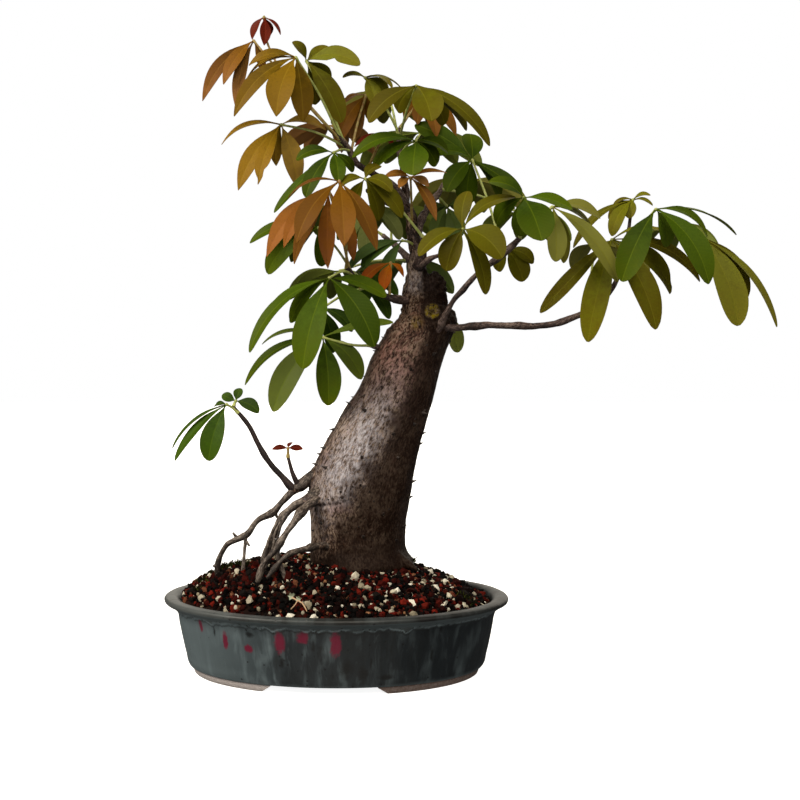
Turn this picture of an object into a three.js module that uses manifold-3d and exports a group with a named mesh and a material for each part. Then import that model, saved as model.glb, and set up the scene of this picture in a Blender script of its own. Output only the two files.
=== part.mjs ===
// A silk floss tree bonsai in a shallow oval glazed pot. Millimetres, +Z up.
// The tree leans to +X, and the side it is shown from faces -Y.
import * as THREE from 'three';
import { mergeVertices } from 'three/addons/utils/BufferGeometryUtils.js';
import Module from 'manifold-3d';

const wasm = await Module();
wasm.setup();

// Pot: an oval whose depth is a share of its width
const LIP_RADIUS = 150;
const OVAL = 0.78;
const POT_HEIGHT = 66;
const MOUTH_RADIUS = 136;
const LIP_DROP = 14;
const BODY_TOP_RADIUS = 138.5;
const BODY_BASE_RADIUS = 128.5;
const FOOT_HEIGHT = 6.5;
const FOOT_RADIUS = 123.5;
const FOOT_INNER_RADIUS = 108;
const FLOOR_TOP = 13;
const FLOOR_RADIUS = 119;
const WALL_FLARE = 8;
const WALL_BEND_HEIGHT = 25;
const MOUTH_ROUNDING = 3.5;
const POT_SIDES = 32;
const POT_TURN = THREE.MathUtils.degToRad(-4);
const POT_MIDDLE = -1.5;
const CUTOUT_TOP_HALF = 43;
const CUTOUT_BASE_HALF = 52;
const DRAIN_RADIUS = 11;
const DRAIN_OFFSET = 62;
const SCREEN_SIZE = 34;
const SCREEN_THICKNESS = 1.2;
const GAP = 0.3;

// Soil: a mound with grains in relief
const SOIL_EDGE_HEIGHT = 62;
const SOIL_RISE = 34;
const SOIL_LEAN = 0.035;
const SOIL_RINGS = 8;
const SOIL_SPOKES = 28;
const GRAIN_RELIEF = 2.4;
const GRAIN_SHIFT = 5;
const HOLE_GROWTH = 0.45;
const WALL_SLACK = 1.2;

// Leaves
const BLADE_THICKNESS = 0.8;
const STALK_HALF_WIDTH = 0.6;
const HUB_SWELL = 1.6;
const PETIOLE_TIP_RADIUS = 1;
const PETIOLE_BASE_RADIUS = 1.25;
const USUAL_TURN = 25;
const USUAL_ARCH = 0.14;
const BOW_UP = 1.5;
const FOLD = 0.16;
const FOLDED_FROM = 25;
const SLIM_BELOW = 15.5;
const PETIOLE_SIDES = 3;
const GUARD = 0.5;
const SEAT_GAP = 0.3;
const SEAT_STEP = 0.15;
const SEAT_REACH = 6;
const BEND_STEP = 5;
const BEND_STEPS = 12;

// Spines
const SPINE_HEIGHT = 4;
const SPINE_RADIUS = 1.7;
const SPINE_SUNK = 1.6;
const BACK_SPINES = 20;

// The eye that the tree is shown to. Places on the tree are written as they are seen from there: across and
// up in the upright plane through the pot's middle, then how far behind that plane they lie. Less than 0 is
// nearer to the eye.
const EYE = new THREE.Vector3(54, -1345, 310);

function seen(across, up, depth) {
  const inPlane = new THREE.Vector3(across, 0, up);
  return EYE.clone().add(inPlane.sub(EYE).multiplyScalar((depth - EYE.y) / -EYE.y));
}

// Trunk rings from the root up: height, middle, half width, all across the view, then depth of the middle
const TRUNK = [
  [58, 17, 36, 0],
  [82, 19, 43, 0],
  [94, 20, 44.5, 0],
  [104, 17.5, 41.5, 0],
  [117, 17, 40.6, 0],
  [159, 21, 44.6, 0],
  [181, 26, 43.6, 1],
  [199, 32.6, 41, 2],
  [221, 41, 38.3, 3],
  [239, 49, 34.6, 4],
  [256, 55, 32.4, 4],
  [279, 63, 30.2, 4],
  [294, 71, 29.1, 3],
  [311, 78, 22.4, 2],
  [319, 75, 16.5, 3],
  [331, 70, 10.5, 4],
];
const TRUNK_SIDES = 14;
const TRUNK_DEPTH = 0.94;

// Limbs: each point is across, up, depth and radius
const SHOOTS = {
  trunk_top: [
    [69, 306, 2, 14], [67, 321, 3, 11.3], [68, 334, 4, 9.1], [69, 347, 6, 8.4],
    [68, 364, 8, 6.5], [65, 380, 10, 5.4], [63, 395, 12, 5], [57, 403, 13, 3.6],
  ],
  crown: [
    [61, 398, 12, 4.3], [51, 416, 10, 3.4], [33, 428, 8, 2.9], [16, 439, 4, 2.6], [9, 452, 0, 2.4],
    [-6, 467, -8, 1.7],
  ],
  upright: [[60, 397, 13, 3.6], [58, 420, 22, 3], [55, 441, 24, 2.5], [53, 456, 22, 2.1], [54, 468, 18, 1.6]],
  middle: [[69, 349, 0, 5.2], [74, 362, -8, 3.1], [74, 375, -14, 2.1]],
  dark_side: [[63, 397, 12, 3.8], [48, 403, 2, 2.8], [35, 408, -8, 2.3], [26, 415, -16, 1.7]],
  neck_twig: [[71, 350, -4, 3.5], [81, 357, -12, 2.1], [92, 361, -20, 1.6]],
  back_shoot: [[67, 376, 12, 4.3], [75, 395, 36, 3.1], [85, 410, 58, 2.6], [93, 422, 74, 1.9]],
  back_low: [[69, 337, 8, 5.2], [63, 354, 38, 3.3], [51, 367, 62, 2.6], [40, 376, 80, 1.9]],
  left: [
    [66, 320, 0, 4.3], [49, 322, -12, 3], [28, 331, -22, 2.3], [19, 337, -26, 2.1], [8, 349, -32, 1.9],
  ],
  upper_right: [
    [85, 292, -14, 4.3], [95, 312, -22, 2.3], [109, 331, -24, 2.2], [132, 353, -23, 2.3],
    [141, 359, -22, 2.8],
    [150, 367, -22, 3.1], [157, 374, -22, 2.1],
  ],
  lower_right: [
    [82, 298, -10, 5.2], [99, 297, -14, 3.3], [123, 299, -14, 3], [196, 303, -11, 2.7], [221, 315, -9, 2.4],
    [240, 337, -7, 2.1], [244, 354, -6, 1.9], [242, 367, -4, 1.8],
  ],
  lower_right_tip: [[243, 349, -6, 1.7], [249, 373, 0, 1.6], [253, 401, 6, 1.4]],
  stub: [[60, 278, 0, 5], [36, 280, -4, 2.8], [29, 282, -6, 1.9]],
  trunk_back: [[78, 296, 12, 6], [88, 303, 34, 3], [92, 306, 42, 2]],
};
const ROOTS = {
  root_long: [
    [0, 187, 0, 10], [-23, 168, -6, 5.6], [-42, 153, -13, 3.5], [-58, 136, -17, 3], [-70, 130, -19, 3],
    [-78, 119, -20, 2.8], [-98, 107, -18, 2.6], [-104, 94, -17, 2.4], [-105, 74, -15, 2.2],
  ],
  rootlet: [[-80, 117, -20, 2.3], [-81, 106, -22, 1.8], [-82, 95, -24, 1.7], [-83, 76, -24, 1.6]],
  root_braid: [
    [-3, 161, -12, 8.5], [-24, 150, -26, 4.8], [-44, 138, -35, 3.3], [-57, 115, -38, 3], [-63, 97, -39, 3],
    [-66, 72, -40, 2.6],
  ],
  root_front: [
    [-6, 152, -17, 8], [-27, 142, -36, 4.3], [-42, 123, -50, 3.1], [-56, 102, -55, 2.8], [-63, 94, -56, 2.8],
    [-70, 76, -57, 2.3],
  ],
  root_spur: [[-49, 112, -53, 2.4], [-52, 104, -54, 2.1], [-46, 78, -57, 1.7]],
  root_surface: [[-2, 109, -20, 6.9], [-26, 106, -46, 3.6], [-45, 99, -57, 2.9], [-61, 80, -60, 2.3]],
  root_back: [[8, 112, 26, 9], [-12, 99, 48, 5], [-22, 88, 62, 3.8], [-32, 70, 74, 3]],
  root_right: [[32, 110, 24, 9], [48, 97, 46, 5], [58, 86, 60, 3.7], [68, 68, 72, 2.8]],
  root_rear: [[22, 114, 30, 9], [24, 104, 54, 5.2], [20, 94, 68, 4], [14, 72, 82, 3]],
};
const TWIGS = {
  twig_long: [
    [-38, 156, -11.5, 3.3], [-49, 169, -14, 2.6], [-58, 179, -16, 2.4], [-70, 199, -18, 2.1],
    [-76, 211, -19, 1.9], [-90, 229, -21, 1.4],
  ],
  twig_short: [[-34, 160, -10.5, 2.6], [-39, 171, -13, 1.9], [-43, 185, -15, 1.3]],
};
const LIMB_SIDES = 5;
const SLIM_LIMB_SIDES = 4;
const SLIM_LIMB_BELOW = 4.2;
const BURL = { place: [85, 326, 4], size: [9.5, 9, 20], lean: 0.12 };

// Spines on the near side: height and how far across the trunk's half width
const FRONT_SPINES = [
  [210, -0.97], [194, -0.97], [180, -0.97], [231, -0.95], [282, -0.93], [165, 0.96], [151, 0.96], [126, 0.96],
  [227, -0.55], [188, -0.15], [178, -0.8], [225, 0.85], [216, 0.7], [131, -0.7], [140, 0.5], [188, 0.55],
  [262, 0.2], [247, -0.4], [208, 0.3], [155, -0.35], [121, 0.15], [275, 0.7],
];

// Leaves as they are seen. Each has its shoot with the place on it, counted in the shoot's points, the hub
// where its leaflets meet, the points its petiole passes by, and its tips. A tip is across, up, depth, the
// leaflet's width, then the turn of its face from the viewer in degrees and its arch as a share of its length.
const LEAVES = [
  { name: 'leaf_young_red', tone: 'red', from: ['crown', 5], hub: [-62, 562, 4],
    by: [[-54, 528, 4], [-60, 543, 10]],
    tips: [[-62, 538, -8, 10, 15], [-72, 543, 0, 9, 40, 0.16], [-48, 547, 6, 6, 60, 0.13],
      [-57, 546, 18, 8, 20]] },
  { name: 'leaf_young_bronze', tone: 'bronze', from: ['crown', 4.45], hub: [-71, 542, -14],
    by: [[-20, 482, -20]],
    tips: [[-115, 491, -26, 14, 25], [-97, 505, -34, 13, 20], [-86, 484, -30, 12, 20],
      [-64, 514, -8, 9, 25], [-80, 507, 2, 9, 30]] },
  { name: 'leaf_olive_upper', tone: 'gold', from: ['crown', 4.35], hub: [-35, 528, -30],
    tips: [[-88, 478, -44, 16, 25], [-52, 478, -54, 24, 15], [-45, 490, -36, 14, 40],
      [-75, 521, -30, 12, 40], [-29, 473, -22, 20, 15], [-78, 508, -12, 9, 60]] },
  { name: 'leaf_gold_top', tone: 'olive', from: ['crown', 4.15], hub: [-26, 525, -2],
    tips: [[20, 522, -14, 19, 35, 0.12], [-38, 541, -8, 12, 50], [4, 473, -20, 20, 15],
      [-6, 504, 16, 15, 20], [-18, 488, 20, 15, 30], [-5, 535, 6, 15, 35, 0.06]] },
  { name: 'leaf_thin_top', tone: 'olive', from: ['upright', 3.6], hub: [24, 511, 2],
    tips: [[5, 511, 0, 8, 50], [55, 502, 6, 9, 70, 0.12], [47, 502, -8, 9, 65], [33, 488, -8, 15, 25],
      [44, 494, 18, 13, 30]] },
  { name: 'leaf_bronze_inner', tone: 'bronze', from: ['crown', 3.6], hub: [25, 496, 22],
    tips: [[0, 453, 16, 17, 15], [14, 455, 28, 16, 20], [5, 488, 18, 11, 65], [30, 473, 34, 14, 20]] },
  { name: 'leaf_bronze_dome', tone: 'olive', from: ['upright', 3.2], hub: [68, 504, -36],
    tips: [[27, 473, -42, 19, 30], [81, 474, -62, 26, 12], [131, 453, -40, 15, 35],
      [111, 466, -30, 14, 35], [92, 471, -16, 18, 20], [52, 482, -18, 16, 20]] },
  { name: 'leaf_maroon_back', tone: 'bronze', from: ['upright', 4], hub: [75, 494, 22],
    tips: [[69, 471, 16, 13, 25], [85, 460, 14, 14, 20], [102, 461, 26, 12, 25], [57, 477, 34, 15, 20],
      [80, 470, 44, 14, 20]] },
  { name: 'leaf_green_high', tone: 'green', from: ['upper_right', 4.2], hub: [116, 441, 6],
    tips: [[114, 463, 22, 20, 20, 0.05], [67, 471, 14, 18, 20, 0.08], [81, 445, -2, 13, 40],
      [94, 414, -10, 18, 20], [159, 412, 2, 14, 35, 0.04], [111, 403, 20, 20, 15],
      [140, 408, 16, 14, 35]] },
  { name: 'leaf_deep_green', tone: 'green', from: ['upright', 2.3], hub: [68, 457, -30],
    tips: [[65, 428, -52, 26, 10], [13, 443, -36, 14, 40], [30, 432, -26, 13, 35], [95, 447, -24, 14, 45],
      [85, 436, -18, 14, 30]] },
  { name: 'leaf_small_red', tone: 'red', from: ['crown', 2.4], hub: [41, 462, -12],
    tips: [[15, 452, -14, 8, 55, 0.11], [31, 452, -18, 9, 35], [47, 451, -10, 7, 50]] },
  { name: 'leaf_orange_star', tone: 'bronze', from: ['trunk_top', 5.3], hub: [63, 426, -34],
    tips: [[40, 426, -38, 8, 40], [53, 417, -44, 8, 30], [79, 418, -40, 8, 30], [85, 389, -42, 10, 20],
      [94, 430, -30, 8, 55, 0.09]] },
  { name: 'leaf_gold_left', tone: 'gold', from: ['crown', 3.95], hub: [-48, 471, -8],
    tips: [[-99, 454, -6, 10, 55], [-85, 415, -24, 17, 20], [-68, 420, -32, 14, 15],
      [-34, 417, -16, 18, 15], [-9, 466, -4, 12, 45], [-52, 436, 6, 14, 25]] },
  { name: 'leaf_green_crown', tone: 'green', from: ['crown', 3.75], hub: [-3, 447, -30],
    tips: [[-35, 441, -34, 12, 35], [-54, 396, -40, 10, 40, 0.04], [-27, 409, -46, 15, 20],
      [1, 422, -44, 14, 20], [14, 431, -22, 11, 40]] },
  { name: 'leaf_bronze_front', tone: 'bronze', from: ['left', 4], hub: [2, 423, -66],
    by: [[7, 385, -70]],
    tips: [[-35, 370, -86, 19, 20], [6, 367, -94, 21, 8], [34, 364, -76, 16, 25], [-37, 352, -64, 14, 30],
      [-42, 408, -60, 9, 70]] },
  { name: 'leaf_rust_left', tone: 'rust', from: ['left', 3.75], hub: [-7, 415, -34],
    tips: [[-61, 358, -40, 17, 22], [-46, 366, -48, 14, 20], [-8, 348, -36, 15, 15],
      [14, 355, -26, 14, 20], [-27, 373, -16, 14, 25]] },
  { name: 'leaf_green_left', tone: 'green', from: ['left', 3.35], hub: [-16, 383, -14],
    tips: [[-60, 344, -22, 20, 22], [-75, 370, -14, 12, 40], [-40, 354, -4, 13, 40], [-13, 350, 0, 14, 20]] },
  { name: 'leaf_green_front', tone: 'green', from: ['left', 3.1], hub: [-7, 340, -52],
    by: [[2, 345, -54]],
    tips: [[-30, 262, -78, 26, 10], [32, 281, -66, 25, 20], [-68, 291, -54, 14, 60],
      [-76, 276, -60, 13, 45], [-40, 302, -42, 13, 30], [42, 324, -44, 15, 45, 0.07]] },
  { name: 'leaf_hidden_mid', tone: 'deep', from: ['left', 2.2], hub: [-13, 314, 2],
    tips: [[-41, 302, 0, 12, 35], [13, 294, -4, 13, 35], [-29, 281, 10, 16, 20], [-3, 276, 16, 16, 20]] },
  { name: 'leaf_green_low', tone: 'green', from: ['stub', 2], hub: [-13, 289, -10],
    by: [[16, 282, -14]],
    tips: [[-80, 248, -10, 12, 55], [-56, 225, -22, 23, 15], [-8, 230, -28, 22, 15],
      [21, 253, -16, 17, 25], [-65, 283, -6, 9, 65], [48, 302, 0, 11, 50, 0.04]] },
  { name: 'leaf_small_orange', tone: 'orange', from: ['left', 1.2], hub: [46, 353, -24],
    tips: [[19, 331, -28, 11, 30], [40, 329, -36, 12, 20], [57, 341, -22, 8, 55]] },
  { name: 'leaf_pale_inner', tone: 'pale', from: ['dark_side', 2], hub: [29, 402, 8],
    tips: [[25, 355, 0, 16, 15], [54, 373, 6, 15, 35], [11, 374, 18, 15, 30], [49, 380, 24, 16, 30]] },
  { name: 'leaf_olive_mid', tone: 'olive', from: ['middle', 2], hub: [24, 425, -40],
    tips: [[3, 418, -44, 12, 50], [47, 414, -48, 14, 35], [56, 392, -36, 15, 25], [37, 436, -32, 13, 45],
      [12, 396, -34, 13, 25],
      [36, 389, -28, 14, 20]] },
  { name: 'leaf_underside', tone: 'olive', from: ['upper_right', 2.6], hub: [108, 382, -56],
    tips: [[70, 359, -70, 15, 35], [94, 346, -62, 20, 20], [142, 357, -72, 26, 25],
      [153, 409, -50, 14, 45], [128, 326, -50, 15, 25], [112, 414, -44, 16, 20]] },
  { name: 'leaf_dark_inner', tone: 'deep', from: ['back_shoot', 2], hub: [94, 402, 66],
    tips: [[85, 372, 60, 17, 20], [103, 373, 52, 19, 15], [114, 397, 70, 16, 40], [80, 395, 74, 15, 40]] },
  { name: 'leaf_broad_right', tone: 'green', from: ['upper_right', 6], hub: [160, 409, -54],
    tips: [[176, 372, -84, 31, 10], [130, 422, -58, 15, 40], [137, 386, -46, 18, 30],
      [202, 399, -50, 15, 50, 0.06], [157, 376, -38, 16, 20]] },
  { name: 'leaf_long_right', tone: 'olive', from: ['upper_right', 5.4], hub: [185, 401, -26],
    tips: [[241, 337, -40, 17, 30], [188, 354, -38, 18, 20], [195, 353, -18, 14, 25],
      [226, 391, -30, 14, 50], [218, 383, -18, 11, 60]] },
  { name: 'leaf_branch_tip', tone: 'olive', from: ['upper_right', 4.7], hub: [146, 365, -4],
    tips: [[160, 337, -10, 20, 20], [169, 353, 0, 13, 30], [138, 346, 6, 13, 30]] },
  { name: 'leaf_olive_spread', tone: 'olive', from: ['lower_right', 7], hub: [236, 373, -12],
    tips: [[175, 310, -12, 15, 30, 0.03], [216, 285, -26, 23, 15], [275, 296, -26, 24, 15],
      [312, 337, -2, 13, 30], [287, 327, 2, 19, 25], [290, 374, -8, 9, 65]] },
  { name: 'leaf_bright_right', tone: 'green', from: ['lower_right', 6.3], hub: [274, 399, -36],
    tips: [[245, 337, -54, 24, 15], [320, 335, -50, 25, 25], [318, 375, -32, 13, 50, 0.17],
      [343, 377, -24, 11, 80, 0.1], [284, 367, -22, 16, 25]] },
  { name: 'leaf_far_right', tone: 'olive', from: ['lower_right_tip', 1.3], hub: [314, 375, -10],
    tips: [[346, 299, -22, 27, 15], [354, 324, -8, 17, 30], [379, 298, -2, 12, 50, 0.12],
      [331, 340, 6, 16, 25]] },
  { name: 'leaf_new_right', tone: 'olive', from: ['lower_right_tip', 2], hub: [254, 407, 4],
    tips: [[269, 411, 4, 6, 55], [271, 402, 0, 6, 55], [237, 402, 6, 6, 55], [251, 391, -4, 11, 25],
      [203, 366, 2, 9, 45, 0.12], [233, 391, 12, 10, 35],
      [236, 376, -6, 13, 25]] },
  { name: 'leaf_behind_trunk', tone: 'green', from: ['trunk_back', 2], hub: [95, 311, 50],
    tips: [[104, 276, 44, 16, 20], [89, 280, 56, 17, 20], [80, 292, 60, 15, 35]] },
  { name: 'leaf_blue_mid', tone: 'deep', from: ['trunk_top', 4.2], hub: [56, 372, -10],
    tips: [[21, 349, -14, 13, 35], [8, 346, -2, 12, 40], [40, 337, -12, 12, 25]] },
  { name: 'leaf_dark_mid', tone: 'deep', from: ['left', 2.8], hub: [14, 345, 0],
    tips: [[52, 325, -8, 16, 40], [45, 305, -2, 14, 30], [25, 319, 4, 16, 20]] },
  { name: 'twig_leaf_large', tone: 'deep', from: ['twig_long', 4.7], hub: [-96, 231, -24],
    tips: [[-112, 182, -36, 20, 12], [-141, 182, -28, 12, 50, 0.08], [-143, 193, -20, 10, 72, 0.1],
      [-107, 229, -20, 6, 50]] },
  { name: 'twig_leaf_tip', tone: 'deep', from: ['twig_long', 5], hub: [-88, 234, -18],
    tips: [[-100, 239, -18, 9, 25, 0.03], [-84, 245, -14, 9, 25, 0.03], [-68, 224, -20, 13, 35, 0.11]] },
  { name: 'twig_leaf_maroon', tone: 'red', from: ['twig_short', 2], hub: [-43, 193, -16],
    tips: [[-57, 192, -18, 6, 45, 0.07], [-30, 192, -18, 7, 45, 0.07], [-39, 198, -10, 5, 50]] },
];

// Leaves on the far side, each a fan of like leaflets: hub, how many, the heading of the middle one seen from
// above (90 is straight back) and the leaflets' length
const FAR_LEAVES = [
  { name: 'leaf_rear_top', tone: 'olive', from: ['upright', 2.8],
    hub: [44, 498, 56], count: 5, heading: 95, length: 56 },
  { name: 'leaf_rear_crown', tone: 'green', from: ['upright', 1.5],
    hub: [72, 464, 72], count: 5, heading: 90, length: 60 },
  { name: 'leaf_rear_high_left', tone: 'bronze', from: ['crown', 2.9],
    hub: [-4, 470, 50], count: 5, heading: 120, length: 54 },
  { name: 'leaf_rear_left', tone: 'green', from: ['back_low', 3],
    hub: [-8, 402, 80], count: 5, heading: 140, length: 60 },
  { name: 'leaf_rear_middle', tone: 'green', from: ['back_low', 2.4],
    hub: [46, 400, 98], count: 6, heading: 95, length: 58 },
  { name: 'leaf_rear_right', tone: 'olive', from: ['back_shoot', 3],
    hub: [112, 424, 92], count: 5, heading: 75, length: 60 },
  { name: 'leaf_rear_side', tone: 'green', from: ['back_shoot', 2.5],
    hub: [156, 396, 60], count: 5, heading: 50, length: 56 },
  { name: 'leaf_rear_low', tone: 'deep', from: ['back_low', 1.6],
    hub: [58, 354, 84], count: 5, heading: 115, length: 58 },
  { name: 'leaf_rear_low_left', tone: 'green', from: ['back_low', 1.1],
    hub: [2, 346, 62], count: 5, heading: 140, length: 56 },
  { name: 'leaf_rear_branch', tone: 'olive', from: ['lower_right', 3.8],
    hub: [222, 370, 46], count: 4, heading: 55, length: 54 },
  { name: 'leaf_rear_tip', tone: 'green', from: ['lower_right_tip', 0.8],
    hub: [284, 384, 40], count: 5, heading: 50, length: 56 },
];
const FAN_STEP = 40;
const FAN_SPREAD = 62;
const FAN_WIDTH = 0.3;
const FAR_DEPTH = 40;

const TONES = {
  green: 0x4c5f14,
  deep: 0x30460f,
  olive: 0x61591c,
  gold: 0x82641a,
  bronze: 0x7a5018,
  rust: 0x86401c,
  red: 0x6e1f10,
  orange: 0x9a4a12,
  pale: 0x8d9a66,
};

// A repeatable run of numbers from 0 to 1
function seededNumbers(seed) {
  let state = seed;
  return () => {
    state = (state * 1664525 + 1013904223) % 4294967296;
    return state / 4294967296;
  };
}

// Closed skin over rings of equal length: rings[0] is capped, and so is the last unless an apex closes it
function skin(rings, apex) {
  const size = rings[0].length;
  const points = rings.flat();
  const faces = [];
  for (let k = 2; k < size; k += 1) faces.push([0, k, k - 1]);
  for (let r = 0; r + 1 < rings.length; r += 1) {
    for (let k = 0; k < size; k += 1) {
      const a = r * size + k;
      const b = r * size + ((k + 1) % size);
      faces.push([a, b, b + size], [a, b + size, a + size]);
    }
  }
  const last = (rings.length - 1) * size;
  if (apex) {
    points.push(apex);
    for (let k = 0; k < size; k += 1) faces.push([last + k, last + ((k + 1) % size), points.length - 1]);
  } else {
    for (let k = 2; k < size; k += 1) faces.push([last, last + k - 1, last + k]);
  }
  const geometry = new THREE.BufferGeometry();
  const places = points.flatMap((p) => [p.x, p.y, p.z]);
  geometry.setAttribute('position', new THREE.Float32BufferAttribute(places, 3));
  geometry.setIndex(faces.flat());
  return geometry;
}

function toSolid(geometry) {
  const bare = geometry.clone();
  bare.deleteAttribute('normal');
  bare.deleteAttribute('uv');
  const merged = mergeVertices(bare, 1e-4);
  const solid = new wasm.Manifold(new wasm.Mesh({
    numProp: 3,
    vertProperties: new Float32Array(merged.getAttribute('position').array),
    triVerts: new Uint32Array(merged.getIndex().array),
  }));
  return solid;
}

function toGeometry(solid) {
  const mesh = solid.getMesh();
  const geometry = new THREE.BufferGeometry();
  geometry.setAttribute('position', new THREE.BufferAttribute(new Float32Array(mesh.vertProperties), 3));
  geometry.setIndex(new THREE.BufferAttribute(new Uint32Array(mesh.triVerts), 1));
  geometry.computeVertexNormals();
  return geometry;
}

function joinAll(solids) {
  return solids.reduce((whole, solid) => whole.add(solid));
}

// Limbs

function limbPoints(rows) {
  return rows.map(([across, up, depth, radius]) => ({ at: seen(across, up, depth), radius }));
}

function tangentAt(points, k) {
  const before = points[Math.max(k - 1, 0)].at;
  const after = points[Math.min(k + 1, points.length - 1)].at;
  return after.clone().sub(before).normalize();
}

// A tapering limb along its points, round in section with few sides
function limb(points, sides, growth = 0) {
  const rings = [];
  let side = new THREE.Vector3(0.3, 1, 0.2);
  points.forEach(({ at, radius }, k) => {
    const along = tangentAt(points, k);
    const isEnd = k === 0 ? -1 : Number(k === points.length - 1);
    const middle = at.clone().addScaledVector(along, isEnd * growth);
    side = side.clone().addScaledVector(along, -side.dot(along)).normalize();
    const up = new THREE.Vector3().crossVectors(along, side);
    const ring = [];
    for (let s = 0; s < sides; s += 1) {
      const turn = (s / sides) * Math.PI * 2;
      ring.push(middle.clone()
        .addScaledVector(side, Math.cos(turn) * (radius + growth))
        .addScaledVector(up, Math.sin(turn) * (radius + growth)));
    }
    rings.push(ring);
  });
  return toSolid(skin(rings));
}

// The trunk's ring at a height, from the rows of TRUNK: middle, half width and half depth
function trunkAt(up) {
  let k = 0;
  while (k < TRUNK.length - 2 && TRUNK[k + 1][0] < up) k += 1;
  const [low, high] = [TRUNK[k], TRUNK[k + 1]];
  const share = (up - low[0]) / (high[0] - low[0]);
  const [across, half, depth] = [1, 2, 3].map((n) => THREE.MathUtils.lerp(low[n], high[n], share));
  return { middle: seen(across, up, depth), half, deep: half * TRUNK_DEPTH };
}

// A point on the trunk's skin. Low swellings run up it and turn slowly with the height.
function onTrunk(up, turn, growth = 0) {
  const { middle, half, deep } = trunkAt(up);
  const swell = 1 + 0.02 * Math.sin(3 * turn + up / 40) + 0.015 * Math.sin(5 * turn - up / 23);
  return middle.add(new THREE.Vector3(
    Math.cos(turn) * (half * swell + growth),
    Math.sin(turn) * (deep * swell + growth),
    0,
  ));
}

function trunk(growth = 0) {
  const rings = TRUNK.map(([up], k) => {
    const ring = [];
    const height = k === 0 ? up - growth : up;
    for (let s = 0; s < TRUNK_SIDES; s += 1) {
      ring.push(onTrunk(height, (s / TRUNK_SIDES) * Math.PI * 2, growth));
    }
    return ring;
  });
  return toSolid(skin(rings));
}

function spine(up, turn) {
  const foot = onTrunk(up, turn);
  const { middle } = trunkAt(up);
  const out = foot.clone().sub(middle).setZ(0).normalize();
  out.z = 0.2;
  out.normalize();
  const cone = new THREE.ConeGeometry(SPINE_RADIUS, SPINE_HEIGHT + SPINE_SUNK, 3);
  cone.translate(0, (SPINE_HEIGHT - SPINE_SUNK) / 2, 0);
  cone.applyQuaternion(new THREE.Quaternion().setFromUnitVectors(new THREE.Vector3(0, 1, 0), out));
  cone.translate(foot.x, foot.y, foot.z);
  return toSolid(cone);
}

function spines() {
  const near = FRONT_SPINES.map(([up, across]) => spine(up, -Math.acos(across)));
  const random = seededNumbers(7);
  const far = [];
  const [lowest, highest] = [112, 300];
  for (let k = 0; k < BACK_SPINES; k += 1) {
    const up = lowest + ((k + random()) / BACK_SPINES) * (highest - lowest);
    far.push(spine(up, 0.35 + random() * (Math.PI - 0.7)));
  }
  return [...near, ...far];
}

function burl() {
  const ball = new THREE.SphereGeometry(1, 8, 6);
  ball.rotateX(Math.PI / 2);
  ball.scale(...BURL.size);
  ball.rotateY(-BURL.lean);
  const at = seen(...BURL.place);
  ball.translate(at.x, at.y, at.z);
  return toSolid(ball);
}

function limbsOf(table, growth = 0) {
  return Object.values(table).map((rows) => {
    const points = limbPoints(rows);
    return limb(points, points[0].radius < SLIM_LIMB_BELOW ? SLIM_LIMB_SIDES : LIMB_SIDES, growth);
  });
}

function wood() {
  return joinAll([trunk(), burl(), ...limbsOf({ ...SHOOTS, ...ROOTS, ...TWIGS }), ...spines()]);
}

// The trunk's foot and the roots a little larger, to cut their holes in the soil
function woodInSoil() {
  return joinAll([trunk(HOLE_GROWTH), ...limbsOf(ROOTS, HOLE_GROWTH)]);
}

// Pot and soil

// Turns a shape with the pot, and sets it at the pot's middle
function inPot(geometry) {
  geometry.rotateZ(POT_TURN);
  geometry.translate(POT_MIDDLE, 0, 0);
  return geometry;
}

// Turns a closed profile of radius and height round the upright axis, pressed to the oval
function ovalLathe(profile, sides) {
  const points = profile.map(([radius, height]) => new THREE.Vector2(radius, height));
  const lathe = new THREE.LatheGeometry(points, sides);
  lathe.rotateX(Math.PI / 2);
  lathe.scale(1, OVAL, 1);
  return inPot(lathe);
}

function upright(radius, low, high, x, sides = 16) {
  const cylinder = new THREE.CylinderGeometry(radius, radius, high - low, sides);
  cylinder.rotateX(Math.PI / 2);
  cylinder.translate(x, 0, (low + high) / 2);
  return toSolid(inPot(cylinder));
}

function footCutout() {
  const outline = new THREE.Shape([
    new THREE.Vector2(-CUTOUT_BASE_HALF - 1.5, -1),
    new THREE.Vector2(CUTOUT_BASE_HALF + 1.5, -1),
    new THREE.Vector2(CUTOUT_TOP_HALF, FOOT_HEIGHT),
    new THREE.Vector2(-CUTOUT_TOP_HALF, FOOT_HEIGHT),
  ]);
  const bar = new THREE.ExtrudeGeometry(outline, { depth: 3 * LIP_RADIUS, bevelEnabled: false });
  bar.translate(0, 0, -1.5 * LIP_RADIUS);
  bar.rotateX(Math.PI / 2);
  return toSolid(inPot(bar));
}

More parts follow.
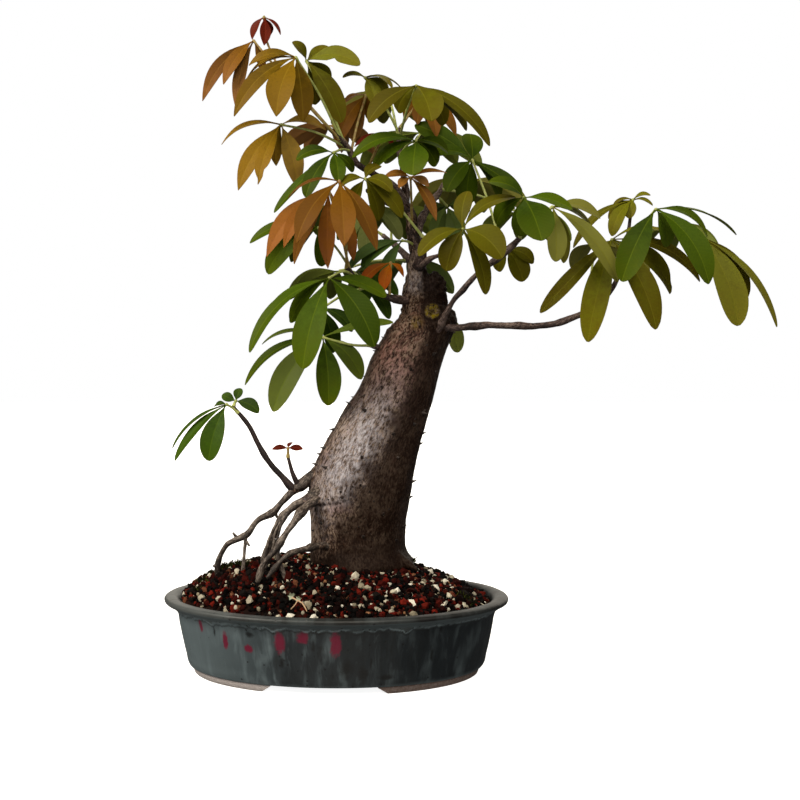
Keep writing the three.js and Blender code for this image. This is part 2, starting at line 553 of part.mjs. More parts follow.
function pot() {
  const lipBase = POT_HEIGHT - LIP_DROP;
  const body = toSolid(ovalLathe([
    [0, FOOT_HEIGHT],
    [FOOT_INNER_RADIUS, FOOT_HEIGHT],
    [FOOT_INNER_RADIUS + 2, 0],
    [FOOT_RADIUS, 0],
    [FOOT_RADIUS + 2.5, FOOT_HEIGHT - 0.5],
    [BODY_BASE_RADIUS, FOOT_HEIGHT + 1],
    [BODY_BASE_RADIUS + 6, 30],
    [BODY_TOP_RADIUS, lipBase],
    [LIP_RADIUS - 2.5, POT_HEIGHT - 8],
    [LIP_RADIUS, POT_HEIGHT - 4],
    [LIP_RADIUS - 2, POT_HEIGHT - 1],
    [LIP_RADIUS - 5, POT_HEIGHT],
    [MOUTH_RADIUS + 2, POT_HEIGHT - 0.5],
    [MOUTH_RADIUS, POT_HEIGHT - 2.5],
    [MOUTH_RADIUS - MOUTH_ROUNDING, lipBase - 2],
    [FLOOR_RADIUS + WALL_FLARE, WALL_BEND_HEIGHT],
    [FLOOR_RADIUS, FLOOR_TOP],
    [0, FLOOR_TOP],
  ], POT_SIDES));
  const drains = [-DRAIN_OFFSET, DRAIN_OFFSET].map((x) => upright(DRAIN_RADIUS, 0, FLOOR_TOP + 5, x));
  return [footCutout(), ...drains].reduce((whole, tool) => whole.subtract(tool), body);
}

function drainScreen(x, growth = 0) {
  const size = SCREEN_SIZE + 2 * growth;
  const square = new THREE.BoxGeometry(size, size, SCREEN_THICKNESS + 2 * growth);
  square.translate(x, 0, FLOOR_TOP + GAP + SCREEN_THICKNESS / 2);
  return toSolid(inPot(square));
}

// The mound's height over a place, without its grains
function soilHeight(x, y) {
  const out = Math.min(Math.hypot(x, y / OVAL) / MOUTH_RADIUS, 1);
  return SOIL_EDGE_HEIGHT + SOIL_RISE * (1 - out ** 2.8) - SOIL_LEAN * x;
}

function soil() {
  const random = seededNumbers(41);
  const ovalRing = (radius, height) => {
    const ring = [];
    for (let s = 0; s < SOIL_SPOKES; s += 1) {
      const turn = (s / SOIL_SPOKES) * Math.PI * 2;
      ring.push(new THREE.Vector3(Math.cos(turn) * radius, Math.sin(turn) * radius * OVAL, height));
    }
    return ring;
  };
  const rings = [
    ovalRing(FLOOR_RADIUS - WALL_SLACK, FLOOR_TOP + GAP),
    ovalRing(FLOOR_RADIUS + WALL_FLARE - WALL_SLACK, WALL_BEND_HEIGHT),
    ovalRing(MOUTH_RADIUS - MOUTH_ROUNDING - WALL_SLACK, POT_HEIGHT - LIP_DROP - 2),
    ovalRing(MOUTH_RADIUS - WALL_SLACK - 1, SOIL_EDGE_HEIGHT - 3),
  ];
  for (let r = 0; r < SOIL_RINGS; r += 1) {
    const radius = (MOUTH_RADIUS - 5) * (1 - r / SOIL_RINGS);
    const share = r === 0 ? 0.3 : 1;
    rings.push(ovalRing(radius, 0).map((p) => {
      const x = p.x + (random() - 0.5) * GRAIN_SHIFT * share;
      const y = p.y + (random() - 0.5) * GRAIN_SHIFT * share;
      return new THREE.Vector3(x, y, soilHeight(x, y) + (random() - 0.5) * 2 * GRAIN_RELIEF * share);
    }));
  }
  const mound = toSolid(inPot(skin(rings, new THREE.Vector3(0, 0, soilHeight(0, 0)))));
  const holes = [woodInSoil(), drainScreen(-DRAIN_OFFSET, GAP), drainScreen(DRAIN_OFFSET, GAP)];
  return holes.reduce((whole, tool) => whole.subtract(tool), mound);
}

// Leaves

// Where a leaflet is widest and how it narrows: share of the length and share of the half width
const BLADE_STATIONS = [[0.16, 0.2], [0.5, 0.96], [0.8, 0.76]];
const SLIM_STATIONS = [[0.36, 0.85], [0.74, 0.85]];

// One leaflet from the hub to its tip: a thin blade, arched along its length and folded along its midrib.
// swell makes the larger guard that is tried for room, from startShare of its length on.
function blade(hub, tip, width, turn, arch, swell = 0, startShare = 0) {
  const chord = tip.clone().sub(hub);
  const length = chord.length();
  const along = chord.clone().normalize();
  const outward = new THREE.Vector3(0, hub.y > FAR_DEPTH ? 1 : -1, 0);
  const front = outward.addScaledVector(along, -outward.dot(along)).normalize();
  const rise = new THREE.Vector3().crossVectors(along, front);
  if (rise.z < 0) rise.negate();
  const angle = THREE.MathUtils.degToRad(turn);
  const face = front.clone().multiplyScalar(Math.cos(angle)).addScaledVector(rise, Math.sin(angle));
  const side = new THREE.Vector3().crossVectors(along, face);
  const bow = face.clone().addScaledVector(rise, BOW_UP * rise.z);
  const middle = hub.clone().addScaledVector(chord, 0.5).addScaledVector(bow, arch * length);
  const curve = new THREE.QuadraticBezierCurve3(hub, middle, tip);
  const folded = width >= FOLDED_FROM;
  const shape = width < SLIM_BELOW ? SLIM_STATIONS : BLADE_STATIONS;
  const stations = [[startShare, 0], ...shape.filter(([t]) => t > startShare)];
  const rings = stations.map(([t, share]) => {
    const half = Math.max((width / 2) * share, STALK_HALF_WIDTH) + swell;
    const centre = curve.getPoint(t);
    const normal = new THREE.Vector3().crossVectors(side, curve.getTangent(t)).normalize();
    const lift = folded ? half * FOLD : 0;
    const thick = BLADE_THICKNESS / 2 + swell;
    const place = (across, up) => centre.clone().addScaledVector(side, across).addScaledVector(normal, up);
    const top = [place(-half, lift + thick), place(0, thick), place(half, lift + thick)];
    const under = [place(half, lift - thick), place(0, -thick), place(-half, lift - thick)];
    return folded ? [...top, ...under] : [top[0], top[2], under[0], under[2]];
  });
  return toSolid(skin(rings, tip.clone().addScaledVector(along, swell)));
}

// Where a petiole starts: lifted off its shoot's middle line, or off the shoot's end if it leaves from there
function petioleStart(from, towards, lift) {
  const points = limbPoints({ ...SHOOTS, ...TWIGS }[from[0]]);
  const low = Math.min(Math.floor(from[1]), points.length - 2);
  const share = from[1] - low;
  const at = points[low].at.clone().lerp(points[low + 1].at, share);
  const radius = THREE.MathUtils.lerp(points[low].radius, points[low + 1].radius, share);
  const along = points[low + 1].at.clone().sub(points[low].at).normalize();
  if (share >= 1) return at.addScaledVector(along, lift);
  const way = towards.clone().sub(at);
  const out = way.addScaledVector(along, -way.dot(along)).normalize();
  return at.addScaledVector(out, radius * 0.7 + lift);
}

function petiolePoints(leaf, lift) {
  const hub = seen(...leaf.hub);
  const by = (leaf.by ?? []).map((place) => seen(...place));
  const start = petioleStart(leaf.from, by[0] ?? hub, lift);
  const route = [start, ...by, hub];
  if (by.length === 0) {
    const middle = start.clone().lerp(hub, 0.5);
    middle.z += start.distanceTo(hub) * 0.06;
    route.splice(1, 0, middle);
  }
  const points = route.map((at, k) => ({
    at,
    radius: THREE.MathUtils.lerp(PETIOLE_BASE_RADIUS, PETIOLE_TIP_RADIUS, k / (route.length - 1)),
  }));
  const end = points[points.length - 1];
  end.at = end.at.clone().addScaledVector(tangentAt(points, points.length - 1), HUB_SWELL * 0.7);
  end.radius = HUB_SWELL;
  return points;
}

// A far leaf's tips, worked out as a fan that hangs from its hub
function withFan(leaf) {
  const [across, up, depth] = leaf.hub;
  const spread = THREE.MathUtils.degToRad(FAN_SPREAD);
  const tips = [];
  for (let k = 0; k < leaf.count; k += 1) {
    const heading = THREE.MathUtils.degToRad(leaf.heading + (k - (leaf.count - 1) / 2) * FAN_STEP);
    const length = leaf.length * (1 - 0.08 * (k % 2));
    tips.push([
      Math.round(across + length * Math.cos(heading) * Math.sin(spread)),
      Math.round(up - length * Math.cos(spread)),
      Math.round(depth + length * Math.sin(heading) * Math.sin(spread)),
      Math.round(leaf.length * FAN_WIDTH),
    ]);
  }
  return { ...leaf, tips };
}

function touches(solid, obstacles) {
  const box = solid.boundingBox();
  for (const obstacle of obstacles) {
    const apart = [0, 1, 2].some((n) => box.min[n] > obstacle.box.max[n] || box.max[n] < obstacle.box.min[n]);
    if (!apart) {
      const shared = solid.intersect(obstacle.solid);
      const empty = shared.isEmpty();
      shared.delete();
      if (!empty) return true;
    }
  }
  return false;
}

function obstacle(name, solid) {
  return { name, solid, box: solid.boundingBox() };
}

// A petiole that starts as near to its shoot as it can without touching the bark
function seatedPetiole(leaf, bark) {
  for (let lift = 0; lift < SEAT_REACH; lift += SEAT_STEP) {
    const points = petiolePoints(leaf, lift);
    const guard = limb(points, PETIOLE_SIDES, SEAT_GAP);
    const clear = !touches(guard, [bark]);
    guard.delete();
    if (clear) return points;
  }
  throw new Error(`${leaf.name} finds no seat on ${leaf.from[0]}`);
}

// Leaflets that would cross another leaf or limb are bent nearer or further until they are clear
function bentBlade(hub, [across, up, depth, width, turn = USUAL_TURN, arch = USUAL_ARCH], name, obstacles) {
  const others = obstacles.filter((thing) => thing.name !== name);
  const own = obstacles.filter((thing) => thing.name === name);
  for (let k = 0; k < 2 * BEND_STEPS; k += 1) {
    const bend = Math.ceil(k / 2) * BEND_STEP * (k % 2 === 0 ? 1 : -1);
    const tip = seen(across, up, depth + bend);
    const guard = blade(hub, tip, width, turn, arch, 0.6, 0.1);
    const outer = blade(hub, tip, width, turn, arch, 0.3, 0.3);
    const clear = !touches(guard, others) && !touches(outer, own);
    guard.delete();
    outer.delete();
    if (clear) return blade(hub, tip, width, turn, arch);
  }
  return null;
}

function leaves(woodSolid) {
  const plan = [...LEAVES, ...FAR_LEAVES.map(withFan)];
  const bark = obstacle('wood', woodSolid);
  const obstacles = [bark];
  const stems = plan.map((leaf) => {
    const points = seatedPetiole(leaf, bark);
    obstacles.push(obstacle(`${leaf.name}_stem`, limb(points, PETIOLE_SIDES, GUARD)));
    return limb(points, PETIOLE_SIDES);
  });
  return plan.map((leaf, n) => {
    const hub = seen(...leaf.hub);
    const around = obstacles.filter((thing) => thing.name !== `${leaf.name}_stem`);
    const blades = [];
    leaf.tips.forEach((tip) => {
      const found = bentBlade(hub, tip, leaf.name, around);
      if (!found) return;
      blades.push(found);
      around.push(obstacle(leaf.name, found));
      obstacles.push(obstacle(leaf.name, found));
    });
    return { leaf, leaflets: blades.length, solid: joinAll([stems[n], ...blades]) };
  });
}

// Assembly

function addMesh(group, name, solid, look) {
  const mesh = new THREE.Mesh(toGeometry(solid), new THREE.MeshStandardMaterial({ metalness: 0, ...look }));
  mesh.name = name;
  group.add(mesh);
  return mesh;
}

const tree = new THREE.Group();
addMesh(tree, 'pot', pot(), { color: 0x3f5557, roughness: 0.3 });
addMesh(tree, 'drain_screen_left', drainScreen(-DRAIN_OFFSET), { color: 0x20221f, roughness: 0.7 });
addMesh(tree, 'drain_screen_right', drainScreen(DRAIN_OFFSET), { color: 0x20221f, roughness: 0.7 });
addMesh(tree, 'soil', soil(), { color: 0x5a3226, roughness: 0.95 });
const woodSolid = wood();
addMesh(tree, 'wood', woodSolid, { color: 0x5b4a3f, roughness: 0.8 });
leaves(woodSolid).forEach(({ leaf, leaflets, solid }) => {
  const mesh = addMesh(tree, leaf.name, solid, { color: TONES[leaf.tone], roughness: 0.45 });
  mesh.userData.leaflets = leaflets;
  mesh.userData.planned = leaf.tips?.length ?? leaf.count;
});

// The origin is under the middle of the whole, on the surface that the pot stands on
const extent = new THREE.Box3().setFromObject(tree);
const middle = extent.getCenter(new THREE.Vector3());
tree.position.set(-middle.x, -middle.y, -extent.min.z);
const bonsai = new THREE.Group();
bonsai.add(tree);

export default bonsai;
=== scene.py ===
"""A silk floss tree bonsai in a glazed oval pot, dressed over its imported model.

Places are written in millimetres from the pot's middle, +Z up. The tree leans to +X, and the side that it is
shown from faces -Y. Draft.piece turns millimetres into metres in the frame of the row.
"""
import sys
import logging
import math
from dataclasses import dataclass, field
from enum import Enum
from functools import cache
from typing import Any, Iterable, Sequence

import bpy
import numpy as np
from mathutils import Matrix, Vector, noise


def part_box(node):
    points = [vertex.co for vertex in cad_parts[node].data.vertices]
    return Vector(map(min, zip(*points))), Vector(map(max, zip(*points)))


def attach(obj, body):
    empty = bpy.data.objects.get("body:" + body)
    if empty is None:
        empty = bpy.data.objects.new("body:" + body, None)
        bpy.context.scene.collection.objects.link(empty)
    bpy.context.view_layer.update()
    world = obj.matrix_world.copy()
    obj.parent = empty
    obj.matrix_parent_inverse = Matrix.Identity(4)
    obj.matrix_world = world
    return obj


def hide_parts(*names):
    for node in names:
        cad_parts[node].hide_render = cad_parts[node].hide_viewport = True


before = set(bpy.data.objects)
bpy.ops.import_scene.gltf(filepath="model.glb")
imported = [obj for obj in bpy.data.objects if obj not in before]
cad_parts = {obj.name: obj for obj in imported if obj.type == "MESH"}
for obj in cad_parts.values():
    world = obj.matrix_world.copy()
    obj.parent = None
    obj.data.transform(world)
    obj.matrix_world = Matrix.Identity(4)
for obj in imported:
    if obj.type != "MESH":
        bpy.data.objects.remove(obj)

log = logging.getLogger("bonsai")
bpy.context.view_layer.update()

Row = tuple[float, ...]
Faces = list[list[int]]
Array = np.ndarray
Tree = bpy.types.NodeTree
Node = bpy.types.Node
Socket = bpy.types.NodeSocket
Material = bpy.types.Material
Piece = bpy.types.Object

MM = 0.001
POT_MIDDLE = -1.5
POT_TURN = math.radians(-4)
OVAL = 0.78

# The eye that the tree is shown to, level with the crown's foot and looking a little down
EYE = np.array([54.0, -1345.0, 310.0])
EYE_PITCH = 3.2
LENS = 70.1


def pot_centre() -> Array:
    """Returns: the place in the row, in metres, of the point that all places here are written from."""
    low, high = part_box("pot")
    return np.array([(low.x + high.x) / 2 - POT_MIDDLE * MM, (low.y + high.y) / 2, low.z])


ORIGIN = pot_centre()


def seen(across: float, up: float, depth: float) -> Array:
    """Turns a place as the eye sees it into a real one.

    Args:
        across: place across the upright plane through the pot's middle, as seen from the eye.
        up: height in that plane, as seen from the eye.
        depth: how far behind the plane the place lies. Less than 0 is nearer to the eye.

    Returns:
        The place, in millimetres from the pot's middle.
    """
    in_plane = np.array([across, 0.0, up])
    return EYE + (in_plane - EYE) * ((depth - EYE[1]) / -EYE[1])


def unit(vectors: Array) -> Array:
    """Returns: the vectors at length 1."""
    return vectors / np.linalg.norm(vectors, axis=-1, keepdims=True)


def ease(low: float, high: float, value: Array) -> Array:
    """Returns: a smooth step from 0 at low to 1 at high."""
    share = np.clip((value - low) / (high - low), 0, 1)
    return share * share * (3 - 2 * share)


def bump(distance: Array, width: float) -> Array:
    """Returns: a bell from 1 where the distance is 0, with its shoulders at the width."""
    return np.exp(-((distance / width) ** 2))


def rough(points: Array, size: float, octaves: int = 3, seed: float = 0.0) -> Array:
    """Makes smooth random values over space.

    Args:
        points: places in millimetres.
        size: how wide one lump is, in millimetres.
        octaves: how many finer sizes lie on it.
        seed: picks another pattern.

    Returns:
        One value for each place, mostly from -1 to 1.
    """
    shift = Vector((seed * 17.3, seed * 5.1, seed * 9.7))
    return np.array([noise.fractal(Vector(p) / size + shift, 1.0, 2.0, octaves) for p in points])


def through(keys: Array, rows: Array, at: Array) -> Array:
    """Draws a smooth curve through rows of values.

    Args:
        keys: rising numbers, one for each row.
        rows: the values to pass through.
        at: where the curve is read, on the scale of the keys.

    Returns:
        A row of values for each number of at.
    """
    keys, rows, at = np.asarray(keys, float), np.asarray(rows, float), np.asarray(at, float)
    slopes = np.gradient(rows, keys, axis=0)
    k = np.clip(np.searchsorted(keys, at, side="right") - 1, 0, len(keys) - 2)
    width = (keys[k + 1] - keys[k])[:, None]
    t = (at - keys[k])[:, None] / width
    start = (1 + 2 * t) * (1 - t) ** 2 * rows[k] + t * (1 - t) ** 2 * width * slopes[k]
    return start + t * t * (3 - 2 * t) * rows[k + 1] + t * t * (t - 1) * width * slopes[k + 1]


def once_round(count: int) -> Array:
    """Returns: evenly spaced ways once round, in radians."""
    return np.arange(count) / count * 2 * math.pi


def path_lengths(places: Array) -> Array:
    """Returns: how far along its path each place lies."""
    return np.concatenate([[0.0], np.cumsum(np.linalg.norm(np.diff(places, axis=0), axis=1))])


def grid_faces(rows: int, columns: int, closed: bool = True) -> Faces:
    """Joins a grid of points by quads.

    Args:
        rows: how many rows of points.
        columns: how many points in a row.
        closed: whether a row's last point joins its first.

    Returns:
        The quads, facing out where the rows run counterclockwise about the way they climb.
    """
    r = np.arange(rows - 1)[:, None] * columns
    c = np.arange(columns if closed else columns - 1)[None, :]
    after = (c + 1) % columns
    return np.stack([r + c, r + after, r + columns + after, r + columns + c], axis=-1).reshape(-1, 4).tolist()


def tube_faces(rows: int, columns: int) -> Faces:
    """Joins a tube of rings by quads.

    Args:
        rows: how many rings.
        columns: how many points in a ring.

    Returns:
        The quads, with a cap on each end.
    """
    last = (rows - 1) * columns
    caps = [list(range(columns))[::-1], list(range(last, last + columns))]
    return grid_faces(rows, columns) + caps


def sheet_faces(rows: int, columns: int) -> Faces:
    """Joins an upper and a lower grid of points into a closed sheet.

    Args:
        rows: how many rows of points each grid has.
        columns: how many points in a row.

    Returns:
        The faces of the upper grid, of the lower one and of the rim between them.
    """
    size = rows * columns
    quads = grid_faces(rows, columns, closed=False)
    grid = np.arange(size).reshape(rows, columns)
    rim = np.concatenate([grid[:, 0], grid[-1, 1:], grid[-2::-1, -1], grid[0, -2:0:-1]]).tolist()
    return ([face[::-1] for face in quads] + [[k + size for k in face] for face in quads]
            + [[a, b, b + size, a + size] for a, b in zip(rim, rim[1:] + rim[:1])])


@dataclass
class Draft:
    """A mesh in the making.

    Attributes:
        points: an array of places for each shape added.
        faces: corner numbers over all the shapes.
        slots: the number of each face's material.
        marks: for each named value that the finishes read, the number of the first point and the values from
            there on. It is 0 for all other points.
        count: how many points there are.
    """

    points: list[Array] = field(default_factory=list)
    faces: Faces = field(default_factory=list)
    slots: list[int] = field(default_factory=list)
    marks: dict[str, list[tuple[int, Array]]] = field(default_factory=dict)
    count: int = 0

    def add(self, points: Array, faces: Faces, slot: int = 0, **marks: Array | float) -> None:
        """Adds a shape.

        Args:
            points: its places in millimetres.
            faces: its faces, counted from its own first point.
            slot: the number of its material.
            **marks: values for the finishes, one for each point or one for all of them.
        """
        points = np.asarray(points, float).reshape(-1, 3)
        self.points.append(points)
        self.faces += [[k + self.count for k in face] for face in faces]
        self.slots += [slot] * len(faces)
        for name, values in marks.items():
            values = np.asarray(values, float)
            size = (len(points), 3) if values.ndim == 2 else (len(points),)
            self.marks.setdefault(name, []).append((self.count, np.broadcast_to(values, size)))
        self.count += len(points)

    def piece(self, name: str, materials: Sequence[Material], edge: float = 60.0) -> Piece:
        """Makes the mesh object.

        Args:
            name: the piece's name.
            materials: its materials, in the order of their numbers.
            edge: the angle, in degrees, from which an edge stays sharp. At 0 every face is flat.

        Returns:
            The object, in metres, in the frame of the row.
        """
        mesh = bpy.data.meshes.new(name)
        mesh.from_pydata((np.concatenate(self.points) * MM + ORIGIN).tolist(), [], self.faces)
        for mark, parts in self.marks.items():
            flat = parts[0][1].ndim == 1
            full = np.zeros(self.count if flat else (self.count, 3), np.float32)
            for start, values in parts:
                full[start:start + len(values)] = values
            layer = mesh.attributes.new(mark, "FLOAT" if flat else "FLOAT_VECTOR", "POINT")
            layer.data.foreach_set("value" if flat else "vector", full.ravel())
        for material in materials:
            mesh.materials.append(material)
        mesh.polygons.foreach_set("material_index", self.slots)
        mesh.polygons.foreach_set("use_smooth", [edge > 0] * len(self.faces))
        if edge > 0:
            mesh.set_sharp_from_angle(angle=math.radians(edge))
        mesh.update()
        return stand(name, mesh)


def stand(name: str, data: bpy.types.ID) -> Piece:
    """Puts a new object in the scene.

    Args:
        name: the object's name.
        data: its mesh, light or camera.

    Returns:
        The object.
    """
    made = bpy.data.objects.new(name, data)
    bpy.context.scene.collection.objects.link(made)
    return made


def worked(piece: Piece) -> bpy.types.Mesh:
    """Returns: a new mesh of the piece as its modifiers shape it."""
    bpy.context.view_layer.update()
    return bpy.data.meshes.new_from_object(piece.evaluated_get(bpy.context.evaluated_depsgraph_get()))


def settle(piece: Piece, slot: str, *nodes: str) -> Piece:
    """Ties a piece to the frame and reports it.

    Args:
        piece: the finished piece.
        slot: the record's slot that its finish belongs to.
        *nodes: the solids that it stands for.

    Returns:
        The same piece.
    """
    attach(piece, "root")
    if nodes:
        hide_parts(*nodes)
    piece.data.calc_loop_triangles()
    log.info("%s: %d triangles, finish %s", piece.name, len(piece.data.loop_triangles), slot)
    return piece


# Finishes


def tint(code: str) -> tuple[float, float, float, float]:
    """Turns a colour linear.

    Args:
        code: an sRGB hex colour.

    Returns:
        Its linear red, green and blue, and an alpha of 1.
    """
    shares = [int(code[k:k + 2], 16) / 255 for k in (1, 3, 5)]
    linear = [s / 12.92 if s <= 0.04045 else ((s + 0.055) / 1.055) ** 2.4 for s in shares]
    return (*linear, 1.0)


def fill(tree: Tree, node: Node, inputs: dict[str, Any] | Sequence[Any]) -> None:
    """Sets and links a node's sockets.

    Args:
        tree: the material's nodes.
        node: the node.
        inputs: what the sockets get, by name or in their own order: a plain value, a hex colour, a socket, or
            a node to take the first output of. For MapRange that order is the value, from low, from high, to
            low and to high.
    """
    sockets = [s for s in node.inputs if s.enabled]
    if isinstance(inputs, dict):
        sockets = [next(s for s in sockets if s.name == name) for name in inputs]
        inputs = list(inputs.values())
    for socket, value in zip(sockets, inputs):
        if isinstance(value, Node):
            value = next(s for s in value.outputs if s.enabled)
        if isinstance(value, Socket):
            tree.links.new(value, socket)
        else:
            socket.default_value = tint(value) if isinstance(value, str) else value


def add(tree: Tree, kind: str, inputs: dict[str, Any] | Sequence[Any] = (),
        stops: Iterable[tuple[float, str]] = (), **settings: Any) -> Node:
    """Adds a node with its settings and links.

    Args:
        tree: the material's nodes.
        kind: the node's kind, without the words that all kinds begin with.
        inputs: what its sockets are set or linked to, as fill takes it.
        stops: for a colour ramp, places with their hex colours.
        **settings: the node's own settings.

    Returns:
        The new node.
    """
    made = tree.nodes.new("ShaderNode" + kind)
    for name, value in settings.items():
        setattr(made, name, value)
    fill(tree, made, inputs)
    for k, (place, colour) in enumerate(stops):
        ramp = made.color_ramp.elements
        element = ramp[k] if k < 2 else ramp.new(place)
        element.position = place
        element.color = tint(colour)
    return made


def new_material(name: str) -> tuple[Material, Tree, Node]:
    """Makes an empty material.

    Args:
        name: its name, after the finish.

    Returns:
        The material, its nodes and its surface shader.
    """
    material = bpy.data.materials.new(name)
    material.use_nodes = True
    return material, material.node_tree, material.node_tree.nodes["Principled BSDF"]


def mark(tree: Tree, name: str, output: str = "Fac") -> Socket:
    """Returns: the output of the node that reads a mesh's mark."""
    return add(tree, "Attribute", attribute_name=name).outputs[output]


class Tone(Enum):
    """The leaves' colours, from the tree's mature green to its new red."""

    GREEN = "green"
    DEEP = "deep"
    OLIVE = "olive"
    GOLD = "gold"
    BRONZE = "bronze"
    RUST = "rust"
    RED = "red"
    ORANGE = "orange"
    PALE = "pale"


@dataclass(frozen=True)
class LeafFinish:
    """Living leaf under its own wax: an even blade whose midrib and fine side veins are a little paler.

    Attributes:
        blade: the upper side's colour.
        shade: the darker colour of its patches, and of the painted shade on leaves that lie in shade.
        flush: the colour that comes in towards the tip.
        flushed: how much of it there is.
        under: the lower side's colour.
        rib: the colour of the midrib and of the blade's thin rim.
        bloom: the colour of the pale film on weathered leaves, which also stands in for painted light on
            leaves drawn paler.
    """

    blade: str
    shade: str
    flush: str
    flushed: float
    under: str
    rib: str
    bloom: str

    # Side veins leave the midrib this far apart, drawn coarser than life so that they show
    VEIN_SPACING_MM = 3.4
    VEIN_SLANT = 0.8
    RIB_HALF_WIDTH_MM = 0.55

    def material(self, name: str) -> Material:
        """Makes the blade's material.

        Args:
            name: the tone's name.

        Returns:
            The material.
        """
        made, tree, shader = new_material(f"waxy_leaf_{name}")
        place = mark(tree, "blade", "Vector")
        across, along, rim = add(tree, "SeparateXYZ", [place]).outputs
        share, own, under = add(tree, "SeparateXYZ", [mark(tree, "leaflet", "Vector")]).outputs
        where = add(tree, "VectorMath", [place, mark(tree, "offset", "Vector")], operation="ADD")
        # Patches about 7 mm across, and a finer mottle
        patches = add(tree, "TexNoise", {"Vector": where, "Scale": 1 / 7, "Detail": 3.0, "Roughness": 0.6})
        dark = add(tree, "Math", [patches, own], operation="ADD")
        darker = add(tree, "MapRange", [dark, 0.7, 1.35])
        mottle = add(tree, "TexNoise", {"Vector": where, "Scale": 1 / 2.2, "Detail": 2.0, "Roughness": 0.6})
        specked = add(tree, "MapRange", [mottle, 0.5, 0.34, 0, 0.3])
        late = add(tree, "MapRange", [share, 0.35, 0.95, 0, self.flushed])
        uneven = add(tree, "MapRange", [patches, 0.3, 0.7, 0.5, 1.2])
        flush = add(tree, "Math", [late, uneven], operation="MULTIPLY", use_clamp=True)
        # Above 0 the leaf's mark draws it towards the pale bloom colour and below 0 towards the shade colour:
        # partly its own tone, partly painted light and shade
        paled, deeper = [add(tree, "MapRange", [mark(tree, "film"), 0, far, 0, 0.9])
                         for far in (1.0, -1.0)]
        aside = add(tree, "Math", [across], operation="ABSOLUTE")
        # Side veins: bright lines that climb from the midrib to the rim
        phase = add(tree, "Math", [aside, -self.VEIN_SLANT, along], operation="MULTIPLY_ADD")
        turns = add(tree, "Math", [phase, 2 * math.pi / self.VEIN_SPACING_MM], operation="MULTIPLY")
        wave = add(tree, "Math", [turns], operation="SINE")
        vein = add(tree, "MapRange", [wave, 0.6, 1, 0, 0.05])
        rib = add(tree, "MapRange", [aside, self.RIB_HALF_WIDTH_MM * 0.6, self.RIB_HALF_WIDTH_MM, 0.3, 0])
        edge = add(tree, "MapRange", [rim, 0.965, 1, 0, 0.2])
        below = add(tree, "Mix", [vein, self.under, self.rib], data_type="RGBA")
        colour = self.blade
        for cover, hue in ((darker, self.shade), (specked, self.shade), (flush, self.flush),
                           (paled, self.bloom), (deeper, self.shade), (vein, self.rib), (under, below),
                           (rib, self.rib), (edge, self.rib)):
            colour = add(tree, "Mix", [cover, colour, hue], data_type="RGBA")
        height = add(tree, "Math", [vein, patches], operation="ADD")
        relief = add(tree, "Bump", {"Height": height, "Distance": 0.00005, "Strength": 0.35})
        gloss = add(tree, "MapRange", [patches, 0, 1, 0.4, 0.56])
        fill(tree, shader, {"Base Color": colour, "Roughness": gloss, "Normal": relief, "IOR": 1.45,
                            "Specular IOR Level": 0.07})
        return made


LEAF_FINISHES = {
    Tone.GREEN: LeafFinish("#4a620a", "#2e4004", "#626e08", 0.55, "#6a7430", "#6f8018", "#838e4a"),
    Tone.DEEP: LeafFinish("#3c580e", "#22360a", "#4e6812", 0.4, "#5a6a34", "#5a7018", "#6c8450"),
    Tone.OLIVE: LeafFinish("#6c6e0e", "#4c4606", "#7c6a16", 0.5, "#7a7838", "#848020", "#868840"),
    Tone.GOLD: LeafFinish("#8e6c10", "#604a06", "#9a722a", 0.6, "#8d7440", "#a08426", "#a4905a"),
    Tone.BRONZE: LeafFinish("#80540c", "#5a3806", "#a06a38", 0.7, "#8a6238", "#9a7024", "#a48458"),
    Tone.RUST: LeafFinish("#985f16", "#6e400c", "#a8683c", 0.6, "#8a5a34", "#9c602c", "#b08260"),
    Tone.RED: LeafFinish("#6e1e0a", "#481206", "#842c14", 0.6, "#7c4030", "#86361e", "#8a4a3a"),
    Tone.ORANGE: LeafFinish("#9a5206", "#6f3804", "#aa4a06", 0.8, "#9a6824", "#a86a18", "#b07a40"),
    Tone.PALE: LeafFinish("#848e4c", "#65703a", "#93955a", 0.6, "#8d9a60", "#9aa264", "#a0a878"),
}


@dataclass(frozen=True)
class StalkFinish:
    """Fresh leaf stalk: smooth, pale yellow-green skin with a slight wax, redder on young leaves.

    Attributes:
        skin: the stalk's colour.
        blush: the colour of its streaks.
    """

    skin: str
    blush: str

    def material(self, name: str) -> Material:
        """Makes the stalk's material.

        Args:
            name: the colour's name.

        Returns:
            The material.
        """
        made, tree, shader = new_material(f"fresh_stalk_{name}")
        # Streaks about 5 mm long
        where = mark(tree, "blade", "Vector")
        streaks = add(tree, "TexNoise", {"Vector": where, "Scale": 1 / 5, "Detail": 2.0})
        share = add(tree, "MapRange", [streaks, 0.4, 0.7])
        colour = add(tree, "Mix", [share, self.skin, self.blush], data_type="RGBA")
        fill(tree, shader, {"Base Color": colour, "Roughness": 0.45, "Specular IOR Level": 0.4})
        return made


STALK_FINISHES = {
    "green": StalkFinish("#bcc274", "#8fa048"),
    "red": StalkFinish("#b4a25e", "#8f6034"),
}
YOUNG = {Tone.BRONZE, Tone.RUST, Tone.RED, Tone.ORANGE}


